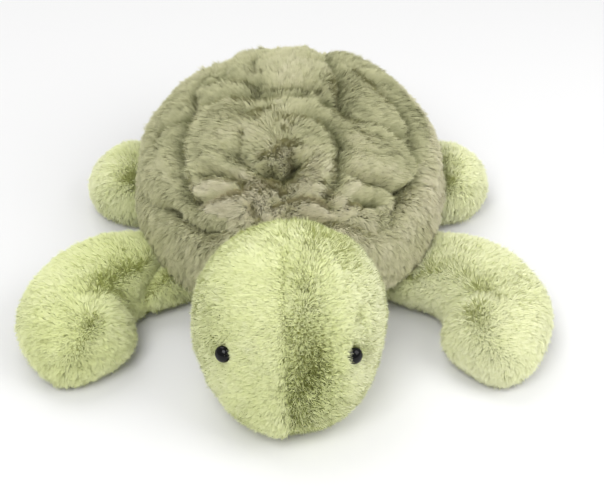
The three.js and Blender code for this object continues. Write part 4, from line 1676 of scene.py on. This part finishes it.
@dataclass(frozen=True)
class Flipper:
    """A stuffed flipper of a top and an underside panel, laid out on the toy's left. Sizes in mm.

    Args:
        name: The flipper's name, and its body's.
        side: Which side of the toy it is on.
        degrees: Where round the shell it is sewn on, from +X.
        reach: Its size along X.
        sweep: Its size along Y.
        thickness: Its size along Z.
        seam: How high the seam between its panels lies.
        stations: Trailing edge, leading edge, top and underside at each station, as shares of the sizes.
        seed: Picks its noise and its scatter.
        tone: Its pile's shade.
        folds: The creases across it.
        patches: Where its pile is brushed up.
        pile_parts: Where along Y its pile is divided.
    """

    name: str
    side: Side
    degrees: float
    reach: float
    sweep: float
    thickness: float
    seam: float
    stations: tuple[tuple[float, ...], ...]
    seed: int
    tone: float
    folds: tuple[Fold, ...] = ()
    patches: tuple[Patch, ...] = ()
    pile_parts: float = -110.0
    cloth_inset: float = 2.2
    slack: float = 2.0
    hidden: float = 12.0
    around: int = 48
    steps: int = 6

    TOP_FULL = 8.0  # how far over the seam the top is fully top
    EDGE, OVER_EDGE = 28.0, 0.8  # how far from its middle line the pile hangs over the edge, and how strongly
    LEVEL = (0.5, 0.85)  # between which rises of its normal a place counts as level
    # BODY_SHADE, PATCH_SHADE and FOLD_SHADE are painted shade: the pile is painted darker beside the body, in
    # ruffled patches and in the folds
    DOWN, BODY_SHADE = -0.9, (0.12, 0.14)  # how far the pile hangs; the shade beside the body and its width
    RUFFLED = (0.75, 0.4)  # how much of the lay a ruffled patch loses, and how far it stands
    PATCH_SHADE, PATCH_GATHER = 0.2, 4.0  # how much darker such a patch is, and how much more it gathers
    FOLD_SHADE, FOLD_TRIM, FOLD_WIDTH = 0.04, 0.05, 3.0  # for each mm of a fold's depth; how far they reach
    HINGE_HEIGHT, HINGE_REACH = 24.0, 30.0  # how high its hinge lies, and over what length its cloth bends

    def build(self, finishes: Finishes) -> None:
        """Builds both panels and their pile."""
        cloth = self._creased(Stuffing().filled(self._form()))
        middles = cloth.middles()
        seen = ~BODY.holds(middles * (self.side.value, 1, 1), self.hidden)
        upper = middles[:, 2] >= self.seam
        for panel_name, keep in (("top", seen & upper), ("underside", seen & ~upper)):
            panel = cloth.part(keep)
            lay = self._lay(panel)
            name = f"{self.name}_{panel_name}"
            shown = panel.on_side(self.side)
            piece = shown.piece(f"{name}_cloth", finishes["lime_backing"])
            self._settle(piece)
            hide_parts(name, *([f"{self.name}_stuffing"] if panel_name == "top" else []))
            lay.comb = lay.comb * (self.side.value, 1, 1)
            blades = SHORT_PILE.grow(shown, lay, self.seed + (panel_name == "top"))
            for end, half in blades.halves(self.pile_parts).items():
                self._settle(half.piece(f"{name}_pile_{end}", finishes["lime_fibre"]))

    def _edges(self, steps: int) -> tuple[Array, Array]:
        """The trailing and the leading edge, with so many places from each gap between stations."""
        rows = smooth_rows(self.stations, steps)
        root = root_of(self.degrees)[0]
        back = np.stack([root[0] + rows[:, 0] * self.reach, root[1] + rows[:, 1] * self.sweep], 1)
        front = np.stack([root[0] + rows[:, 2] * self.reach, root[1] + rows[:, 3] * self.sweep], 1)
        return back, front

    def _form(self) -> Skin:
        """The flipper's closed form, slightly slack."""
        turns = circle(self.around)
        rings = []
        for row, back, front in zip(smooth_rows(self.stations, self.steps), *self._edges(self.steps)):
            top, low = row[4] * self.thickness, max(row[5], 0) * self.thickness
            if np.linalg.norm(back - front) < 0.3:
                rings.append(np.array([[*back, self.seam]]))
                continue
            middle, rise = (back + front) / 2, np.sin(turns)
            flat = middle + np.cos(turns)[:, None] * (back - middle)
            level = self.seam + rise * np.where(rise > 0, top - self.seam, self.seam - low)
            rings.append(np.column_stack([flat, level]))
        rings.insert(0, rings[0].mean(0, keepdims=True))
        return loft(rings).moved(-self.cloth_inset - self.slack)

    def _above(self, points: Array) -> Array:
        """How fully each point belongs to the top, from 0 at the seam to 1."""
        return fade(points[:, 2], self.seam, self.seam + self.TOP_FULL)

    def _creased(self, cloth: Skin) -> Skin:
        """Draws the flipper's folds into the top of the stuffed skin."""
        sunk = np.zeros(len(cloth.points))
        for fold in self.folds:
            sunk += dip(fold.distance(cloth.points), fold.depth, fold.width)
        uneven = 0.9 * value_noise(cloth.points, 24, self.seed * 3)
        return cloth.moved(uneven - self._above(cloth.points) * sunk).above_floor()

    def _lay(self, panel: Skin) -> Lay:
        """How the flipper's pile stands: brushed outwards along it, and down over its edges.

        Args:
            panel: The stuffed and creased panel.

        Returns:
            The lay, on the toy's left.
        """
        points, normals = panel.points, panel.normals()
        line = np.mean(self._edges(3), 0)
        runs = unit(np.gradient(line, axis=0))
        nearest = np.argmin(np.linalg.norm(points[:, None, :2] - line[None], axis=2), axis=1)
        away = points[:, :2] - line[nearest]
        edge = fade(np.linalg.norm(away, axis=1, keepdims=True), 0, self.EDGE) ** 2
        steady = (1 - edge) * fade(normals[:, 2:], *self.LEVEL)
        flat = steady * (runs[nearest] * (0.5, 0.2) + (0.8, 0.15)) + edge * unit(away) * self.OVER_EDGE
        comb = along(np.column_stack([flat, np.full(len(points), self.DOWN)]), normals)
        comb += 0.5 * noise_vectors(points, 26, self.seed * 5) + 0.2 * noise_vectors(points, 9, self.seed * 7)
        patch = np.zeros(len(points))
        for spot in self.patches:
            far = np.linalg.norm(points[:, :2] - (spot.x, spot.y), axis=1)
            patch = np.maximum(patch, dip(far, spot.strength, spot.radius))
        patch *= self._above(points)
        comb = brushed_up(comb, normals, patch, BRUSHED_UP * (self.side.value, 1, 1), *self.RUFFLED)
        length = rippled(0.95, points, (0.1, 14, self.seed * 11))
        tone = rippled(self.tone, points, (0.12, 20, self.seed * 13), (0.06, 6, self.seed * 17))
        # Painted shade in the ruffled patches, beside the body and in the folds
        tone -= self.PATCH_SHADE * patch + dip(fade(BODY.shares(points), 1, 2), *self.BODY_SHADE)
        for fold in self.folds:
            far = fold.distance(points)
            tone -= dip(far, fold.depth * self.FOLD_SHADE, self.FOLD_WIDTH)
            length -= dip(far, fold.depth * self.FOLD_TRIM, self.FOLD_WIDTH)
        return Lay(along(comb, normals), length, tone, 1 + self.PATCH_GATHER * patch)

    def _settle(self, piece: Object) -> None:
        """Bakes the piece's place into its points."""
        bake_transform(piece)


# Trailing edge, leading edge, top and underside at each station, as shares of the flipper's sizes
FRONT_STATIONS = (
    (-0.33, 0.23, -0.44, -0.18, 0.46, 0.1), (-0.07, 0.26, -0.23, -0.27, 0.5, 0.04),
    (0.17, 0.25, -0.06, -0.35, 0.62, 0.0), (0.41, 0.18, 0.09, -0.41, 0.82, 0.0),
    (0.64, 0.05, 0.18, -0.47, 0.96, 0.0), (0.88, -0.17, 0.21, -0.54, 1.0, 0.0),
    (1.0, -0.43, 0.18, -0.62, 1.0, 0.0), (0.97, -0.66, 0.185, -0.73, 0.96, 0.0),
    (0.88, -0.82, 0.27, -0.83, 0.83, 0.01), (0.76, -0.94, 0.43, -0.94, 0.6, 0.1),
    (0.62, -1.0, 0.62, -1.0, 0.36, 0.36),
)
REAR_STATIONS = (
    (-0.49, 0.41, -0.49, -0.28, 0.5, 0.12), (-0.13, 0.52, -0.13, -0.37, 0.56, 0.06),
    (0.12, 0.57, 0.12, -0.405, 0.68, 0.0), (0.42, 0.56, 0.45, -0.39, 0.97, 0.0),
    (0.7, 0.44, 0.74, -0.3, 0.98, 0.0), (0.9, 0.25, 0.92, -0.14, 0.76, 0.05),
    (0.97, 0.14, 0.98, -0.03, 0.58, 0.16), (1.0, 0.05, 1.0, 0.05, 0.38, 0.38),
)


SEWN_AT = 0.885  # where the limbs are sewn on, as a share of the shell's half sizes


def root_of(degrees: float) -> tuple[tuple[float, float], tuple[float, float]]:
    """Where a limb is sewn on, and which way is out from the body there.

    Args:
        degrees: The direction round the shell, from +X.

    Returns:
        The place and the outward direction, on the toy's left.
    """
    angle = math.radians(degrees)
    place = SEWN_AT * BODY.half_width * math.cos(angle), SEWN_AT * BODY.half_length * math.sin(angle)
    seam = unit(np.array([BODY.half_width * math.sin(angle), -BODY.half_length * math.cos(angle)]))
    return place, (-seam[1], seam[0])


FRONT_FOLDS = {
    Side.RIGHT: (Fold(((84, -80), (90, -95), (94, -110), (96, -139)), 6.5, 4.2),),
    Side.LEFT: (
        Fold(((86, -140), (92, -132), (98, -129), (107, -126), (116, -127), (123, -132)), 3.2, 3.2),
        Fold(((90, -66), (84, -74), (82, -84)), 5.0, 5.0),
    ),
}
FRONT_PATCHES = {
    Side.RIGHT: (
        Patch(110, -121, 9.0, 1.0), Patch(99, -129, 6.0, 0.8), Patch(123, -178, 12.0, 1.0),
        Patch(111, -170, 9.0, 0.9), Patch(130, -191, 10.0, 0.9),
    ),
    Side.LEFT: (Patch(101, -94, 8.0, 0.2), Patch(125, -200, 8.0, 0.3)),
}


def flippers() -> list[Flipper]:
    """The four flippers. Those on the left are a little shorter, and their pile is painted paler, as painted
    light on that side.
    """
    made = []
    for number, side in enumerate(Side):
        left = side is Side.LEFT
        # The left flippers' paler tones are painted light
        front = Flipper(
            f"front_{side.word}_flipper", side, -32.6, 97.5 - 7.0 * left, 120.0, 42.0, 15.0, FRONT_STATIONS,
            41 + number * 10, 0.95 if left else 0.6, FRONT_FOLDS[side], FRONT_PATCHES[side],
        )
        rear = Flipper(
            f"rear_{side.word}_flipper", side, 11.2, 56.0 - 5.0 * left, 94.0, 37.0, 14.0, REAR_STATIONS,
            61 + number * 10, 1.0 if left else 0.84, (), (Patch(112, 5, 9.0, 0.4),), 30.0,
        )
        made += [front, rear]
    return made


# Tail


@dataclass(frozen=True)
class Tail:
    """The small stuffed cone behind. Sizes in mm."""

    length: float = 40.0
    half_width: float = 14.0
    height: float = 21.0
    start: float = 110.45
    around: int = 40
    steps: int = 6
    cloth_inset: float = 2.4
    slack: float = 1.0

    # Place along the tail, half width, low and high edge, as shares of its sizes
    STATIONS = (
        (0.0, 0.9, 0.1, 0.95), (0.3, 1.0, 0.0, 1.0), (0.65, 0.73, 0.0, 0.85), (0.92, 0.3, 0.1, 0.55),
        (1.0, 0.0, 0.3, 0.3),
    )

    def build(self, finishes: Finishes) -> None:
        """Builds the skin and its pile."""
        rings = [
            tube_ring(
                self.around,
                self.start + place * self.length,
                width * self.half_width,
                low * self.height,
                high * self.height,
            )
            for place, width, low, high in smooth_rows(self.STATIONS, self.steps)
        ]
        form = loft([rings[0].mean(0, keepdims=True), *rings]).moved(-self.cloth_inset - self.slack)
        cloth = Stuffing(voxel=2.5, swell=1.2).filled(form).above_floor()
        piece = cloth.piece("tail_skin_cloth", finishes["lime_backing"])
        self._settle(piece)
        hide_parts("tail_skin", "tail_stuffing")
        comb = along(np.array([0, 0.9, -0.1]) + 0.35 * noise_vectors(cloth.points, 12, 151), cloth.normals())
        lay = Lay(comb, 0.85, rippled(0.6, cloth.points, (0.12, 12, 153)))
        self._settle(SHORT_PILE.grow(cloth, lay, 81).piece("tail_skin_pile", finishes["lime_fibre"]))

    @staticmethod
    def _settle(piece: Object) -> None:
        """Bakes the piece's place into its points."""
        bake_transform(piece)


# Studio


@dataclass(frozen=True)
class SoftLight:
    """A square soft light: where it hangs, what it looks at, its side and its power."""

    name: str
    place: tuple[float, float, float]
    size: float
    watts: float
    target: tuple[float, float, float] = (0.0, 0.0, 0.05)


@dataclass(frozen=True)
class Studio:
    """A pale floor, soft lights and the camera at the photograph's angle."""

    aim: tuple[float, float, float] = (0.0075, 0.026775, -0.0153)
    distance: float = 1.009
    elevation: float = 37.0
    lens: float = 85.0
    sky: float = 0.5

    LIGHTS = (
        SoftLight("key", (-0.45, -1.1, 1.5), 1.0, 16.0),
        SoftLight("side", (0.72, -0.35, 0.7), 0.7, 4.4),
        SoftLight("back", (-0.6, 0.8, 1.6), 1.2, 8.5),
    )

    def build(self) -> None:
        """Builds the camera, the floor, the lights and the sky."""
        scene = bpy.context.scene
        scene.view_settings.view_transform = "Standard"
        self._camera(scene)
        self._floor()
        self._sky(scene)
        for light in self.LIGHTS:
            self._light(scene, light)

    def _camera(self, scene: Scene) -> None:
        """The camera, a little over a metre from the toy."""
        data = bpy.data.cameras.new("camera")
        data.lens, data.sensor_width = self.lens, 36.0
        data.clip_start, data.clip_end = 0.02, 60.0
        camera = bpy.data.objects.new("camera", data)
        tilt = math.radians(self.elevation)
        back = Vector((0, -math.cos(tilt), math.sin(tilt)))
        camera.location = Vector(self.aim) + back * self.distance
        camera.rotation_euler = (math.pi / 2 - tilt, 0, 0)
        scene.collection.objects.link(camera)
        scene.camera = camera

    @staticmethod
    def _floor() -> None:
        """A round sheet of background paper under the toy."""
        sheet = ring(circle(96), (0, 0, 0), (8, 0, 0), (0, 8, 0))
        mesh = bpy.data.meshes.new("floor")
        mesh.from_pydata(sheet.tolist(), [], [tuple(range(len(sheet)))])
        floor = new_object("floor", mesh, StudioPaper().material(), "a round sheet, 16 m across")

    def _sky(self, scene: Scene) -> None:
        """Even light from all round, which the camera and the plastic's gloss see as white."""
        world = bpy.data.worlds.new("studio")
        world.use_nodes = True
        scene.world = world
        tree = world.node_tree
        tree.nodes.clear()
        rays = add_node(tree, "ShaderNodeLightPath")
        by_camera = rays.outputs["Is Camera Ray"]
        seen = add_node(tree, "ShaderNodeMath", {0: by_camera, 1: self.sky}, operation="MAXIMUM")
        light = add_node(tree, "ShaderNodeBackground", {0: linear("#FFFFFF"), 1: seen.outputs[0]})
        add_node(tree, "ShaderNodeOutputWorld", {0: light.outputs[0]})

    @staticmethod
    def _light(scene: Scene, light: SoftLight) -> None:
        """Hangs one soft light and turns it to its target."""
        data = bpy.data.lights.new(light.name, "AREA")
        data.shape, data.size, data.energy = "SQUARE", light.size, light.watts
        made = bpy.data.objects.new(light.name, data)
        made.location = light.place
        aim = Vector(light.target) - Vector(light.place)
        made.rotation_euler = aim.to_track_quat("-Z", "Y").to_euler()
        scene.collection.objects.link(made)


def main() -> None:
    """Builds the studio and the toy, piece by piece."""
    logging.basicConfig(level=logging.INFO, format="%(message)s", stream=sys.stdout)
    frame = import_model()
    Studio().build()
    finishes = {
        "shell_fibre": SHELL_FIBRE.material(),
        "shell_backing": SHELL_BACKING.material(),
        "lime_fibre": LIME_FIBRE.material(),
        "lime_backing": LIME_BACKING.material(),
        "eye_plastic": MouldedPlastic("acrylic_black_polished", "#060607", 0.1, 0.25).material(),
        "washer_plastic": MouldedPlastic("nylon_natural_moulded", "#E8E8E4", 0.5).material(),
        "cotton": WovenCotton().material(),
    }
    Shell().build(finishes)
    Head().build(finishes)
    for flipper in flippers():
        flipper.build(finishes)
    Tail().build(finishes)
    for side in Side:
        washer = frame["nodes"][f"eye_washer_{side.word}"]
        for place in washer.material_slots:
            place.material = finishes["washer_plastic"]
        log.info("%s keeps its CAD shape", washer.name)


if __name__ == "__main__":
    main()
